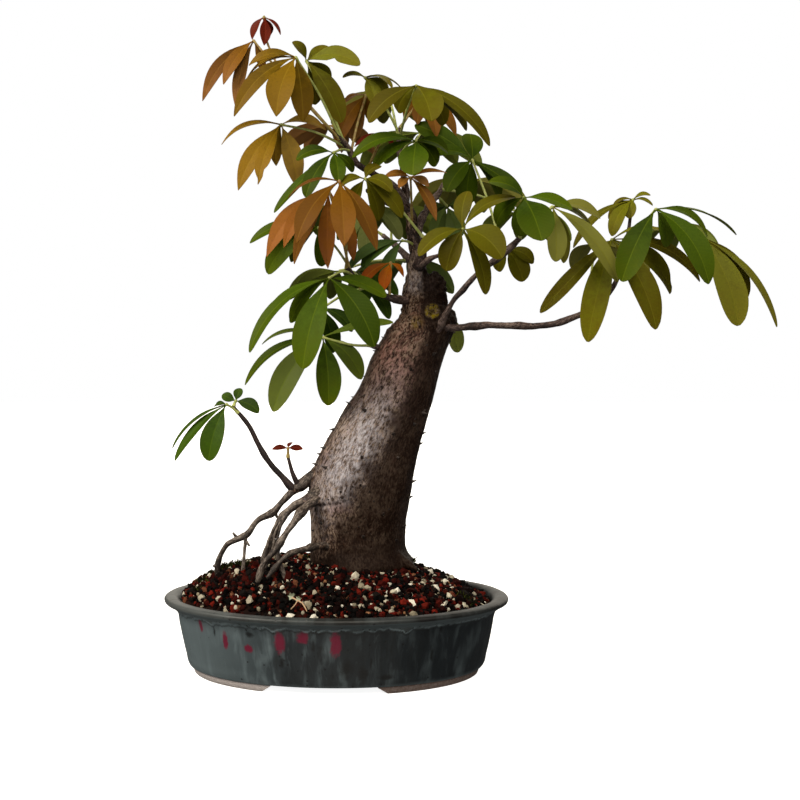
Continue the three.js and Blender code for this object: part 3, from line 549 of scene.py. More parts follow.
@dataclass(frozen=True)
class BarkFinish:
    """Living bark: thin corky skin over green wood, flecked along the grain, with dark breathing pores.

    Attributes:
        dark: the colour of the furrows.
        middle: the main colour.
        light: the colour of the weathered skin.
        fleck_mm: about how wide a fleck is. It is about twice as long, along the grain.
        flecked: how many flecks show, from 0 to 1.
        underside_shade: how much darker the lower side is painted than the upper side, a painted shade.
        roughness: from the polish of young skin to dry cork.
    """

    dark: str
    middle: str
    light: str
    fleck_mm: float = 1.5
    flecked: float = 0.5
    underside_shade: float = 0.0
    roughness: float = 0.6

    def grain(self, tree: Tree) -> tuple[Node, Node, Node]:
        """Lays the fibres' pattern.

        Args:
            tree: the material's nodes.

        Returns:
            The colour, the pattern that flecks it and the pores.
        """
        where = mark(tree, "grain", "Vector")
        fibre = add(tree, "VectorMath", [where, (1.0, 1.0, 0.45)], operation="MULTIPLY")
        flecks = add(tree, "TexNoise", {"Vector": fibre, "Scale": 0.7 / self.fleck_mm, "Detail": 6.0,
                                        "Roughness": 0.7})
        clouds = add(tree, "TexNoise", {"Vector": where, "Scale": 1 / 22, "Detail": 4.0, "Roughness": 0.6})
        mixed = add(tree, "Math", [clouds, 0.7, flecks], operation="MULTIPLY_ADD")
        colour = add(tree, "ValToRGB", {"Fac": mixed},
                     stops=[(0.68, self.dark), (0.98, self.light), (0.84, self.middle)])
        pores = add(tree, "TexVoronoi", {"Vector": fibre, "Scale": 1 / self.fleck_mm / 2.6})
        pits = add(tree, "MapRange", [pores, 0.1, 0.24, self.flecked, 0])
        colour = add(tree, "Mix", [pits, colour, self.dark], data_type="RGBA")
        return colour, flecks, pits

    def material(self, name: str) -> Material:
        """Makes the bark's material.

        Args:
            name: the place on the tree.

        Returns:
            The material.
        """
        made, tree, shader = new_material(f"living_bark_{name}")
        colour, flecks, pits = self.grain(tree)
        # Painted shade: faces that look down are drawn towards the dark colour
        if self.underside_shade:
            facing = add(tree, "SeparateXYZ", [add(tree, "NewGeometry").outputs["Normal"]]).outputs["Z"]
            below = add(tree, "MapRange", [facing, -0.5, 0.5, self.underside_shade, 0])
            colour = add(tree, "Mix", [below, colour, self.dark], data_type="RGBA")
        height = add(tree, "Math", [flecks, pits], operation="SUBTRACT")
        relief = add(tree, "Bump", {"Height": height, "Distance": 0.0006, "Strength": 0.6})
        fill(tree, shader, {"Base Color": colour, "Roughness": self.roughness, "Normal": relief})
        return made


@dataclass(frozen=True)
class TrunkFinish(BarkFinish):
    """Old trunk bark: grey-brown with russet patches, a yellow scar and a dark stained foot, with a painted
    silvery highlight on its left front and painted shade down its right side.
    """

    russet: tuple[str, str] = ("#34170e", "#a5786a")
    # The silver pair paints a highlight on the left front, and pales the neck
    silver: tuple[str, str] = ("#675b57", "#c2bec6")
    lichen: tuple[str, str] = ("#3c3006", "#98840f")
    # The dark brown of the stained foot, and of the painted shade on the right side, the burl and the crease
    stain_and_shade_brown: str = "#1b0c04"

    def material(self, name: str) -> Material:
        """Makes the trunk's material.

        Args:
            name: the place on the tree.

        Returns:
            The material.
        """
        made, tree, shader = new_material(f"old_bark_{name}")
        colour, flecks, pits = self.grain(tree)
        # Blotches about 4 mm wide, drawn out a little along the grain, and cream dashes on them
        grain = mark(tree, "grain", "Vector")
        drawn_out = add(tree, "VectorMath", [grain, (1.0, 1.0, 0.62)], operation="MULTIPLY")
        blotches = add(tree, "TexNoise", {"Vector": drawn_out, "Scale": 1 / 3.4, "Detail": 4.0,
                                          "Roughness": 0.65})
        spotted = add(tree, "Math", [blotches, flecks], operation="ADD")
        contrast = add(tree, "MapRange", [spotted, 0.86, 1.14])
        # Russet patches, a painted silvery highlight with a paler neck, and the lichen of the scar
        ruddy, silvery_sheen_and_neck, scarred = add(tree, "SeparateXYZ", [mark(tree, "patches", "Vector")]).outputs
        worn = add(tree, "MapRange", [blotches, 0.36, 0.56, 0.3, 1.15])
        painted_sheen = add(tree, "MapRange", [blotches, 0.3, 0.5, 0.7, 1.1])
        for share, (low, high), thin in ((ruddy, self.russet, worn), (silvery_sheen_and_neck, self.silver, painted_sheen),
                                         (scarred, self.lichen, worn)):
            other = add(tree, "Mix", [contrast, low, high], data_type="RGBA")
            broken = add(tree, "Math", [share, thin], operation="MULTIPLY", use_clamp=True)
            colour = add(tree, "Mix", [broken, colour, other], data_type="RGBA")
        dark = add(tree, "MapRange", [spotted, 0.82, 0.99, 0.65, 0])
        clear_under_sheen = add(tree, "MapRange", [silvery_sheen_and_neck, 0, 1, 1, 0.15])
        dim = add(tree, "Math", [dark, clear_under_sheen], operation="MULTIPLY")
        along = add(tree, "VectorMath", [grain, (1.0, 1.0, 0.5)], operation="MULTIPLY")
        dashes = add(tree, "TexNoise", {"Vector": along, "Scale": 0.75, "Detail": 2.0, "Roughness": 0.5})
        cream = add(tree, "MapRange", [dashes, 0.56, 0.67, 0, 0.62])
        # Dark specks, cream dashes, then the dark brown of the stained foot and of the painted shade
        for cover, hue in ((dim, self.dark), (cream, self.light), (mark(tree, "soaked"), self.stain_and_shade_brown)):
            colour = add(tree, "Mix", [cover, colour, hue], data_type="RGBA")
        height = add(tree, "Math", [spotted, pits], operation="SUBTRACT")
        relief = add(tree, "Bump", {"Height": height, "Distance": 0.0011, "Strength": 0.9})
        gloss = add(tree, "MapRange", [flecks, 0.3, 0.7, 0.62, 0.42])
        fill(tree, shader, {"Base Color": colour, "Roughness": gloss, "Normal": relief,
                            "Specular IOR Level": 0.12})
        return made


TRUNK_BARK = TrunkFinish("#100703", "#3f2617", "#a08976", fleck_mm=1.1, flecked=0.9)
# Branches, roots and twigs are painted darker on their lower sides, a painted shade
BRANCH_BARK = BarkFinish("#150a08", "#452f29", "#8c786e", fleck_mm=0.8, flecked=0.4, underside_shade=0.55)
ROOT_BARK = BarkFinish("#100a07", "#43362e", "#94877c", fleck_mm=0.9, flecked=0.6, underside_shade=0.85)
TWIG_BARK = BarkFinish("#0d0808", "#2a1c1c", "#56403c", fleck_mm=0.6, flecked=0.4, underside_shade=0.6)
SPINE_BARK = BarkFinish("#0c0908", "#221a17", "#4a3d36", fleck_mm=0.5, flecked=0.2, roughness=0.45)


@dataclass(frozen=True)
class GlazeFinish:
    """Glazed stoneware: a glassy grey-blue coat that ran in the kiln, paler where it pooled, with pinholes.

    Attributes:
        light: the colour of its palest runs, and of the painted light at the oval's left end.
        middle: the main colour.
        dark: the colour where it ran thin, and of the painted shade towards the right end.
        lip: the two colours of the thin coat over the lip.
        pooled: the colour of its thick lower edge, and of the painted light under the lip.
        painted_sheen: the lip's colour at the left end, a painted light.
        crimson: the colour of the copper drips.
        iron: the colour of the iron drips and specks, and of the painted shadow under the glaze's edge.
    """

    light: str = "#6b797f"
    middle: str = "#242b30"
    dark: str = "#12171a"
    lip: tuple[str, str] = ("#141413", "#3a4041")
    pooled: str = "#84949a"
    painted_sheen: str = "#565a5a"
    crimson: str = "#6a052b"
    iron: str = "#0b0c0d"

    def material(self) -> Material:
        """Returns: the glaze's material."""
        made, tree, shader = new_material("streaked_kiln_glaze")
        wall = mark(tree, "wall", "Vector")
        # Runs about 12 mm wide fall down the wall, inside clouds of twice that, with thinner veins on them
        falls, sinks, hangs = [add(tree, "VectorMath", [wall, (1.0, 1.0, drawn)], operation="MULTIPLY")
                               for drawn in (0.16, 0.5, 0.22)]
        runs = add(tree, "TexNoise", {"Vector": falls, "Scale": 1 / 12, "Detail": 6.0, "Roughness": 0.62,
                                      "Distortion": 0.7})
        clouds = add(tree, "TexNoise", {"Vector": sinks, "Scale": 1 / 24, "Detail": 3.0, "Distortion": 0.5})
        veins = add(tree, "TexNoise", {"Vector": hangs, "Scale": 1 / 6, "Detail": 4.0, "Roughness": 0.65,
                                       "Distortion": 0.8})
        fine = add(tree, "TexNoise", {"Vector": wall, "Scale": 0.55, "Detail": 4.0, "Roughness": 0.7})
        blend = add(tree, "Math", [runs, 0.5, clouds], operation="MULTIPLY_ADD")
        colour = add(tree, "ValToRGB", {"Fac": blend},
                     stops=[(0.5, self.dark), (1.0, self.light), (0.76, self.middle)])
        pale_vein = add(tree, "MapRange", [veins, 0.56, 0.72, 0, 0.3])
        dark_vein = add(tree, "MapRange", [veins, 0.46, 0.33, 0, 0.65])
        # Painted light and shade: the coat is painted palest at the oval's left end, where the key light
        # falls, and darker towards its right end
        east = add(tree, "SeparateXYZ", [wall]).outputs["X"]
        high = add(tree, "MapRange", [east, -125.0, -30.0, 0.8, 0])
        low = add(tree, "MapRange", [east, -60.0, 80.0, 0, 0.6])
        # Above the drip line the coat is thin over the lip, which is painted paler at its left end; where the
        # lip turns under it is painted pale, a painted light from below
        drip = add(tree, "Math", [fine, 2.4, mark(tree, "drip")], operation="MULTIPLY_ADD")
        above = add(tree, "MapRange", [drip, 0.9, 2.6])
        patchy = add(tree, "MapRange", [blend, 0.66, 0.9])
        lip = add(tree, "Mix", [patchy, self.lip[0], self.lip[1]], data_type="RGBA")
        lip = add(tree, "Mix", [high, lip, self.painted_sheen], data_type="RGBA")
        facing = add(tree, "SeparateXYZ", [add(tree, "NewGeometry").outputs["Normal"]]).outputs["Z"]
        turned = add(tree, "MapRange", [facing, -0.3, -0.8, 0, 0.45])
        # Its edge pools pale in places, with a painted shadow line just under it and a row of pits along it
        off, under = [add(tree, "Math", [add(tree, "Math", [drip, shift], operation=way)],
                          operation="ABSOLUTE") for shift, way in ((1.2, "SUBTRACT"), (0.9, "ADD"))]
        edge = add(tree, "MapRange", [off, 0.2, 1.2, 0.8, 0])
        thick = add(tree, "MapRange", [runs, 0.38, 0.56])
        pooled = add(tree, "Math", [edge, thick], operation="MULTIPLY")
        shaded = add(tree, "MapRange", [under, 0.3, 1.1, 0.5, 0])
        dots = add(tree, "TexVoronoi", {"Vector": wall, "Scale": 1 / 3.2})
        dotted = add(tree, "MapRange", [dots, 0.2, 0.3, 0.8, 0])
        beside = add(tree, "MapRange", [off, 1.4, 2.4, 1, 0])
        pitted = add(tree, "Math", [dotted, beside], operation="MULTIPLY")
        layers = [(pale_vein, self.light), (dark_vein, self.iron), (high, self.light), (low, self.dark),
                  (above, lip), (turned, self.pooled), (pooled, self.pooled), (shaded, self.iron),
                  (pitted, self.iron)]
        wobble = add(tree, "TexNoise", {"Vector": wall, "Scale": 0.2, "Detail": 4.0, "Roughness": 0.65})
        for name, hue, soft in (("crimson", self.crimson, 0.25), ("iron", self.iron, 0.5)):
            away = add(tree, "Math", [wobble, 1.3, mark(tree, name)], operation="MULTIPLY_ADD")
            blot = add(tree, "MapRange", [away, 1.55 - soft, 1.7, 0.9, 0])
            layers.append((blot, hue))
        # Pinholes and iron specks about 1.5 mm across
        cells = add(tree, "TexVoronoi", {"Vector": wall, "Scale": 1 / 9})
        specks = add(tree, "MapRange", [cells, 0.07, 0.12, 0.85, 0])
        for cover, hue in (*layers, (specks, self.iron)):
            colour = add(tree, "Mix", [cover, colour, hue], data_type="RGBA")
        height = add(tree, "Math", [runs, specks], operation="SUBTRACT")
        relief = add(tree, "Bump", {"Height": height, "Distance": 0.0007, "Strength": 0.35})
        gloss = add(tree, "MapRange", [fine, 0, 1, 0.34, 0.56])
        fill(tree, shader, {"Base Color": colour, "Roughness": gloss, "Normal": relief, "IOR": 1.5,
                            "Specular IOR Level": 0.42})
        return made


@dataclass(frozen=True)
class GrainFinish:
    """Bare mineral or clay, matt and granular, whose colour changes from grain to grain.

    Attributes:
        colours: hex colours from the darkest grain to the lightest.
        grit_mm: the size of the speckle on it.
        roughness: how dry it is.
    """

    colours: tuple[str, ...]
    grit_mm: float = 1.2
    roughness: float = 0.85

    def material(self, name: str) -> Material:
        """Makes the material.

        Args:
            name: what it is, such as the mineral.

        Returns:
            The material.
        """
        made, tree, shader = new_material(name)
        where = mark(tree, "grain", "Vector")
        grit = add(tree, "TexNoise", {"Vector": where, "Scale": 1 / self.grit_mm, "Detail": 4.0,
                                      "Roughness": 0.7})
        pick = add(tree, "Math", [grit, 0.45, mark(tree, "own")], operation="MULTIPLY_ADD")
        stops = [(0.2 + 1.05 * k / (len(self.colours) - 1), c) for k, c in enumerate(self.colours)]
        stops = [(min(place, 1.0), c) for place, c in stops]
        colour = add(tree, "ValToRGB", {"Fac": pick}, stops=[stops[0], stops[-1], *stops[1:-1]])
        relief = add(tree, "Bump", {"Height": grit, "Distance": 0.0006, "Strength": 0.8})
        fill(tree, shader, {"Base Color": colour, "Roughness": self.roughness, "Normal": relief,
                            "Specular IOR Level": 0.08})
        return made


# The darkest clay colour is a painted shade, which the right arc of the foot takes
FOOT_CLAY = GrainFinish(("#75655f", "#cfc8c8", "#aca4a4"), grit_mm=2.0, roughness=0.8)
SOIL_DUST = GrainFinish(("#0c0705", "#2a1712", "#170d0a"), grit_mm=2.5, roughness=0.95)
SCREEN_PLASTIC = GrainFinish(("#141613", "#2a2d28"), grit_mm=0.8, roughness=0.55)
MOSS_GREEN = GrainFinish(("#070805", "#1c200c", "#5b5f22"), grit_mm=1.0, roughness=0.9)
DRY_STRAW = GrainFinish(("#b98f6a", "#dcc0a0"), grit_mm=1.0, roughness=0.7)
FADED_LEAF = GrainFinish(("#8f9a7c", "#c2c8b4"), grit_mm=2.0, roughness=0.6)


class Chip(Enum):
    """The soil's grains: name, share of the mix, usual size in millimetres and finish."""

    LAVA = ("lava", 0.47, 4.2, GrainFinish(("#0d0201", "#3e0d07", "#781e12"), 1.0))
    CINDER = ("cinder", 0.4, 4.2, GrainFinish(("#030202", "#0b0807", "#1c1613"), 1.0))
    CLAY = ("fired_clay", 0.06, 3.8, GrainFinish(("#3a2016", "#6a402c", "#987050"), 1.0))
    PUMICE = ("pumice", 0.07, 4.4, GrainFinish(("#8f8672", "#c9c2ae", "#f4f0e4"), 1.2))


# Leaves

BOW_UP = 1.5
FAR_DEPTH = 40
BEND_STEP = 5
BEND_STEPS = 12
USUAL_TURN = 25.0
USUAL_ARCH = 0.14
FAN_STEP = 40
FAN_SPREAD = math.radians(62)
FAN_WIDTH = 0.3


@dataclass
class Leaf:
    """One palm-shaped leaf: leaflets that meet at a hub on a long stalk.

    Attributes:
        name: the leaf's name, which is also its solid's.
        tone: its colour.
        stem: the shoot that it grows from, and the place on it counted in the shoot's rows.
        hub: where the leaflets meet, as seen.
        tips: for each leaflet its tip as seen, its width, the turn of its face from the viewer in degrees and
            its arch as a share of its length.
        by: places that the stalk passes by.
        film: how much paler or darker the leaf is drawn: above 0 paler, below 0 in deeper colour. It is
            partly the leaf's own weathered tone and partly painted light and shade.
        own_film: what single leaflets have on top of that, by number, mostly painted shade on
            leaflets that lie in shade.
        eaten: bites out of leaflets' rims, by number: share of the length, side and depth.
    """

    name: str
    tone: Tone
    stem: tuple[str, float]
    hub: Row
    tips: list[Row]
    by: list[Row] = field(default_factory=list)
    film: float = 0.0
    own_film: dict[int, float] = field(default_factory=dict)
    eaten: dict[int, list[Row]] = field(default_factory=dict)

    # How near to a place, in millimetres, the solid has to have a corner
    FOUND_WITHIN = 0.2
    STATIONS = 19
    # Share of the length and share of the half width
    OUTLINE = np.array([(0, 0), (0.05, 0.03), (0.12, 0.17), (0.2, 0.4), (0.3, 0.67), (0.42, 0.88), (0.56, 1),
                        (0.7, 0.98), (0.83, 0.82), (0.92, 0.58), (0.97, 0.36), (1, 0.1)])
    # Young leaflets end in a point
    POINTED = np.array([(0, 0), (0.05, 0.03), (0.12, 0.17), (0.2, 0.4), (0.3, 0.68), (0.42, 0.9), (0.54, 1),
                        (0.68, 0.94), (0.8, 0.72), (0.9, 0.42), (0.96, 0.2), (1, 0.03)])
    WIDTH_SHARE = 0.98
    SECTION = np.array([-1, -0.75, -0.42, -0.1, 0, 0.1, 0.42, 0.75, 1.0])
    # Millimetres: the blade, the groove over its midrib and the keel under it
    THICKNESS = 0.45
    GROOVE = 0.14
    KEEL = 0.55
    # Shares of the half width, the width and the length
    FOLD = 0.16
    WAVE = 0.022
    BITE = 0.06
    SWAY = 0.012
    # Degrees
    TWIST = 7
    STALK_SIDES = 8
    STALK_RADII = (1.25, 0.95)
    HUB_RADIUS = 1.5

    def bent_tip(self, tip: Row, corners: Array) -> Array | None:
        """Finds how far the solid's leaflet was bent nearer or further to clear its neighbours.

        Args:
            tip: the leaflet's tip, as seen.
            corners: the solid's corners, in millimetres.

        Returns:
            The tip's place, or None where the leaflet found no room.
        """
        across, up, depth = tip[:3]
        for k in range(2 * BEND_STEPS):
            bend = math.ceil(k / 2) * BEND_STEP * (1 if k % 2 == 0 else -1)
            place = seen(across, up, depth + bend)
            if np.min(np.linalg.norm(corners - place, axis=1)) < self.FOUND_WITHIN:
                return place
        return None

    def arched(self, hub: Array, tip: Array, turn: float, arch: float,
               rng: np.random.Generator) -> tuple[Array, ...]:
        """Bends a leaflet's middle line and turns its face to the viewer.

        Args:
            hub: where the leaflet starts.
            tip: where it ends.
            turn: the turn of its face from the viewer, in degrees.
            arch: its arch as a share of its length.
            rng: the leaf's own random numbers.

        Returns:
            For each station its share of the length, its place, and the ways along, across and out of it.
        """
        chord = tip - hub
        length = float(np.linalg.norm(chord))
        along = chord / length
        outward = np.array([0.0, 1.0 if hub[1] > FAR_DEPTH else -1.0, 0.0])
        front = unit(outward - along * outward.dot(along))
        rise = np.cross(along, front)
        rise = -rise if rise[2] < 0 else rise
        face = front * math.cos(math.radians(turn)) + rise * math.sin(math.radians(turn))
        bow = face + rise * (BOW_UP * rise[2])
        middle = hub + chord * 0.5 + bow * (arch * length)
        t = 1 - (1 - np.linspace(0, 1, self.STATIONS)[:, None]) ** 1.4
        centre = (1 - t) ** 2 * hub + 2 * t * (1 - t) * middle + t * t * tip
        tangent = unit(2 * (1 - t) * (middle - hub) + 2 * t * (tip - middle))
        side = np.cross(along, face)
        twist = math.radians(rng.normal(0, self.TWIST)) * (t - 0.25)
        normal = unit(np.cross(side, tangent))
        side, normal = (side * np.cos(twist) + normal * np.sin(twist),
                        normal * np.cos(twist) - side * np.sin(twist))
        centre = centre + side * (np.sin(math.pi * t) * length * rng.normal(0, self.SWAY))
        return t, centre, tangent, side, normal

    def leaflet(self, draft: Draft, hub: Array, tip: Array, shape: Row, number: int,
                rng: np.random.Generator) -> None:
        """Adds one leaflet: a thin closed blade, arched, folded along its midrib and a little waved.

        Args:
            draft: the leaf's mesh in the making.
            hub: where the leaflet starts.
            tip: where it ends.
            shape: its width, then its turn and its arch where they aren't the usual ones.
            number: its place among the leaf's tips.
            rng: the leaf's own random numbers.
        """
        width, turn, arch = (*shape, *(USUAL_TURN, USUAL_ARCH)[len(shape) - 1:])
        t, centre, tangent, side, normal = self.arched(hub, tip, turn, arch, rng)
        outline = self.POINTED if self.tone in YOUNG | {Tone.GOLD} else self.OUTLINE
        grown = through(outline[:, 0], outline[:, 1:], t[:, 0] ** rng.uniform(0.92, 1.08))
        half = np.maximum(width / 2 * self.WIDTH_SHARE * grown, 0.55 * (1 - t) + 0.12)
        u = self.SECTION[None, :]
        reach = np.repeat(half, len(self.SECTION), axis=1)
        for place, which, depth in self.eaten.get(number, []):
            reach = reach * (1 - depth * bump(t - place, self.BITE) * (u * which > 0.3))
        phase = rng.uniform(0, 2 * math.pi, 2)
        wave = np.where(u < 0, np.sin(9 * t + phase[0]), np.sin(8 * t + phase[1])) * u * u
        cup = rng.normal(0.03, 0.03)
        lift = half * self.FOLD * np.abs(u) ** 1.2 + half * cup * u * u + width * self.WAVE * wave
        across = reach * u
        flat = centre[:, None] + side[:, None] * across[..., None] + normal[:, None] * lift[..., None]
        thick = self.THICKNESS / 2 * (1 - 0.45 * np.abs(u) ** 3) * np.ones_like(t)
        groove = self.GROOVE * (u == 0)
        keel = self.KEEL * (1 - 0.8 * t) * (u == 0)
        top = flat + normal[:, None] * (thick - groove)[..., None]
        under = flat - normal[:, None] * (thick + keel)[..., None]
        faces = sheet_faces(*across.shape)
        # side crosses the wrong way round for the quads if the blade is seen from behind its face
        if np.dot(np.cross(side[0], tangent[0]), normal[0]) < 0:
            faces = [face[::-1] for face in faces]
        along = t * float(np.linalg.norm(tip - hub))
        blade = np.stack(np.broadcast_arrays(across, along, np.abs(u)), axis=-1).reshape(-1, 3)
        own = rng.uniform()
        marks = [np.stack(np.broadcast_arrays(t, own, low + 0 * u), axis=-1).reshape(-1, 3) for low in (0, 1)]
        # The leaf's and the leaflet's paler and darker drawing: partly their own tone, partly painted light
        # and shade
        film = self.film + self.own_film.get(number, 0.0)
        draft.add(np.concatenate([top.reshape(-1, 3), under.reshape(-1, 3)]), faces,
                  blade=np.tile(blade, (2, 1)), leaflet=np.concatenate(marks),
                  film=film + rng.normal(0, 0.12), offset=rng.uniform(0, 400, (1, 3)))

    def stalk(self, draft: Draft, rng: np.random.Generator) -> None:
        """Adds the stalk, from inside its shoot to the hub, with the hub's swelling.

        Args:
            draft: the leaf's mesh in the making.
            rng: the leaf's own random numbers.
        """
        shoot, count = self.stem
        rows = {**SHOOTS, **TWIGS}[shoot]
        low = min(int(count), len(rows) - 2)
        places = [seen(*row[:3]) for row in rows[low:low + 2]]
        start = places[0] + (places[1] - places[0]) * (count - low)
        hub = seen(*self.hub)
        route = [start, *[seen(*place) for place in self.by], hub]
        if not self.by:
            middle = (start + hub) / 2
            middle[2] += np.linalg.norm(hub - start) * 0.06
            route.insert(1, middle)
        path = np.array(route)
        keys = path_lengths(path)
        steps = np.linspace(0, keys[-1], max(8, int(keys[-1] / 4)))
        line = through(keys, path, steps)
        share = steps / keys[-1]
        radius = np.interp(share, [0, 1], self.STALK_RADII) + 0.7 * bump(share * keys[-1], 3.0)
        radius = np.maximum(radius, self.HUB_RADIUS * bump(steps - keys[-1], 2.4))
        line = np.vstack([line, line[-1] + unit(line[-1] - line[-2]) * self.HUB_RADIUS * 0.8])
        radius = np.append(radius, 0.6)
        turned = tube(line, radius, self.STALK_SIDES)
        along = np.repeat(np.append(steps, steps[-1] + 1), self.STALK_SIDES)
        blade = np.column_stack([np.zeros_like(along), along, np.zeros_like(along)])
        draft.add(turned, tube_faces(len(line), self.STALK_SIDES), slot=1, blade=blade,
                  leaflet=np.zeros((1, 3)), offset=rng.uniform(0, 400, (1, 3)))

    def build(self) -> Piece:
        """Makes the leaf's mesh, with every leaflet bent as its solid's is.

        Returns:
            The piece.
        """
        corners = np.array([v.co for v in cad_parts[self.name].data.vertices]) - ORIGIN
        rng = np.random.default_rng(sum(ord(c) * (k + 3) for k, c in enumerate(self.name)))
        draft = Draft()
        hub = seen(*self.hub)
        for number, tip in enumerate(self.tips):
            place = self.bent_tip(tip, corners / MM)
            if place is not None:
                self.leaflet(draft, hub, place, tip[3:], number, rng)
        self.stalk(draft, rng)
        stalk = "red" if self.tone in YOUNG else "green"
        finishes = [finish_of(self.tone), finish_of(stalk)]
        piece = draft.piece(f"{self.name}_blades", finishes, edge=55)
        return settle(piece, f"leaf_{self.tone.value}", self.name)


@cache
def finish_of(kind: Tone | str) -> Material:
    """Makes a leaf's or a stalk's material, the first time that it is asked for.

    Args:
        kind: the leaf's tone or the stalk's colour.

    Returns:
        The material.
    """
    if isinstance(kind, Tone):
        return LEAF_FINISHES[kind].material(kind.value)
    return STALK_FINISHES[kind].material(kind)


def tube(line: Array, radius: Array, sides: int, uneven: float = 0.0, seed: float = 0.0) -> Array:
    """Lays rings round a line, without letting them turn about it.

    Args:
        line: the middle places, in millimetres.
        radius: the radius at each.
        sides: how many points a ring has.
        uneven: how far the skin departs from round, as a share of the radius.
        seed: picks the unevenness.

    Returns:
        The rings' points, one ring after the other.
    """
    along = unit(np.gradient(line, axis=0))
    side = np.array([0.3, 1.0, 0.2])
    turn = once_round(sides)
    rings = []
    for place, way, reach in zip(line, along, radius):
        side = unit(side - way * side.dot(way))
        up = np.cross(way, side)
        round_it = side * np.cos(turn)[:, None] + up * np.sin(turn)[:, None]
        rings.append(place + round_it * reach)
    points = np.concatenate(rings)
    if uneven:
        middle = np.repeat(line, sides, axis=0)
        swell = 1 + uneven * rough(points, 7.0, 3, seed)[:, None]
        points = middle + (points - middle) * swell
    return points


def fan_leaf(name: str, tone: Tone, stem: tuple[str, float], hub: Row, count: int, heading: float,
             length: float) -> Leaf:
    """Works out a far leaf, whose like leaflets hang from its hub in a fan.

    Args:
        name: the leaf's name.
        tone: its colour.
        stem: the shoot and the place on it.
        hub: where the leaflets meet, as seen.
        count: how many leaflets there are.
        heading: the way the middle one points, seen from above. 90 is straight back.
        length: the leaflets' length.

    Returns:
        The leaf.
    """
    across, up, depth = hub
    tips = []
    for k in range(count):
        way = math.radians(heading + (k - (count - 1) / 2) * FAN_STEP)
        reach = length * (1 - 0.08 * (k % 2))
        tips.append((
            math.floor(across + reach * math.cos(way) * math.sin(FAN_SPREAD) + 0.5),
            math.floor(up - reach * math.cos(FAN_SPREAD) + 0.5),
            math.floor(depth + reach * math.sin(way) * math.sin(FAN_SPREAD) + 0.5),
            math.floor(length * FAN_WIDTH + 0.5),
        ))
    return Leaf(name, tone, stem, hub, tips)


# Places, copied from the part's source

SHOOTS: dict[str, list[Row]] = {
    "trunk_top": [
        (69, 306, 2, 14), (67, 321, 3, 11.3), (68, 334, 4, 9.1), (69, 347, 6, 8.4), (68, 364, 8, 6.5),
        (65, 380, 10, 5.4), (63, 395, 12, 5), (57, 403, 13, 3.6)],
    "crown": [
        (61, 398, 12, 4.3), (51, 416, 10, 3.4), (33, 428, 8, 2.9), (16, 439, 4, 2.6), (9, 452, 0, 2.4),
        (-6, 467, -8, 1.7)],
    "upright": [
        (60, 397, 13, 3.6), (58, 420, 22, 3), (55, 441, 24, 2.5), (53, 456, 22, 2.1), (54, 468, 18, 1.6)],
    "middle": [(69, 349, 0, 5.2), (74, 362, -8, 3.1), (74, 375, -14, 2.1)],
    "dark_side": [(63, 397, 12, 3.8), (48, 403, 2, 2.8), (35, 408, -8, 2.3), (26, 415, -16, 1.7)],
    "neck_twig": [(71, 350, -4, 3.5), (81, 357, -12, 2.1), (92, 361, -20, 1.6)],
    "back_shoot": [(67, 376, 12, 4.3), (75, 395, 36, 3.1), (85, 410, 58, 2.6), (93, 422, 74, 1.9)],
    "back_low": [(69, 337, 8, 5.2), (63, 354, 38, 3.3), (51, 367, 62, 2.6), (40, 376, 80, 1.9)],
    "left": [
        (66, 320, 0, 4.3), (49, 322, -12, 3), (28, 331, -22, 2.3), (19, 337, -26, 2.1), (8, 349, -32, 1.9)],
    "upper_right": [
        (85, 292, -14, 4.3), (95, 312, -22, 2.3), (109, 331, -24, 2.2), (132, 353, -23, 2.3),
        (141, 359, -22, 2.8), (150, 367, -22, 3.1), (157, 374, -22, 2.1)],
    "lower_right": [
        (82, 298, -10, 5.2), (99, 297, -14, 3.3), (123, 299, -14, 3), (196, 303, -11, 2.7),
        (221, 315, -9, 2.4), (240, 337, -7, 2.1), (244, 354, -6, 1.9), (242, 367, -4, 1.8)],
    "lower_right_tip": [(243, 349, -6, 1.7), (249, 373, 0, 1.6), (253, 401, 6, 1.4)],
    "stub": [(60, 278, 0, 5), (36, 280, -4, 2.8), (29, 282, -6, 1.9)],
    "trunk_back": [(78, 296, 12, 6), (88, 303, 34, 3), (92, 306, 42, 2)],
}
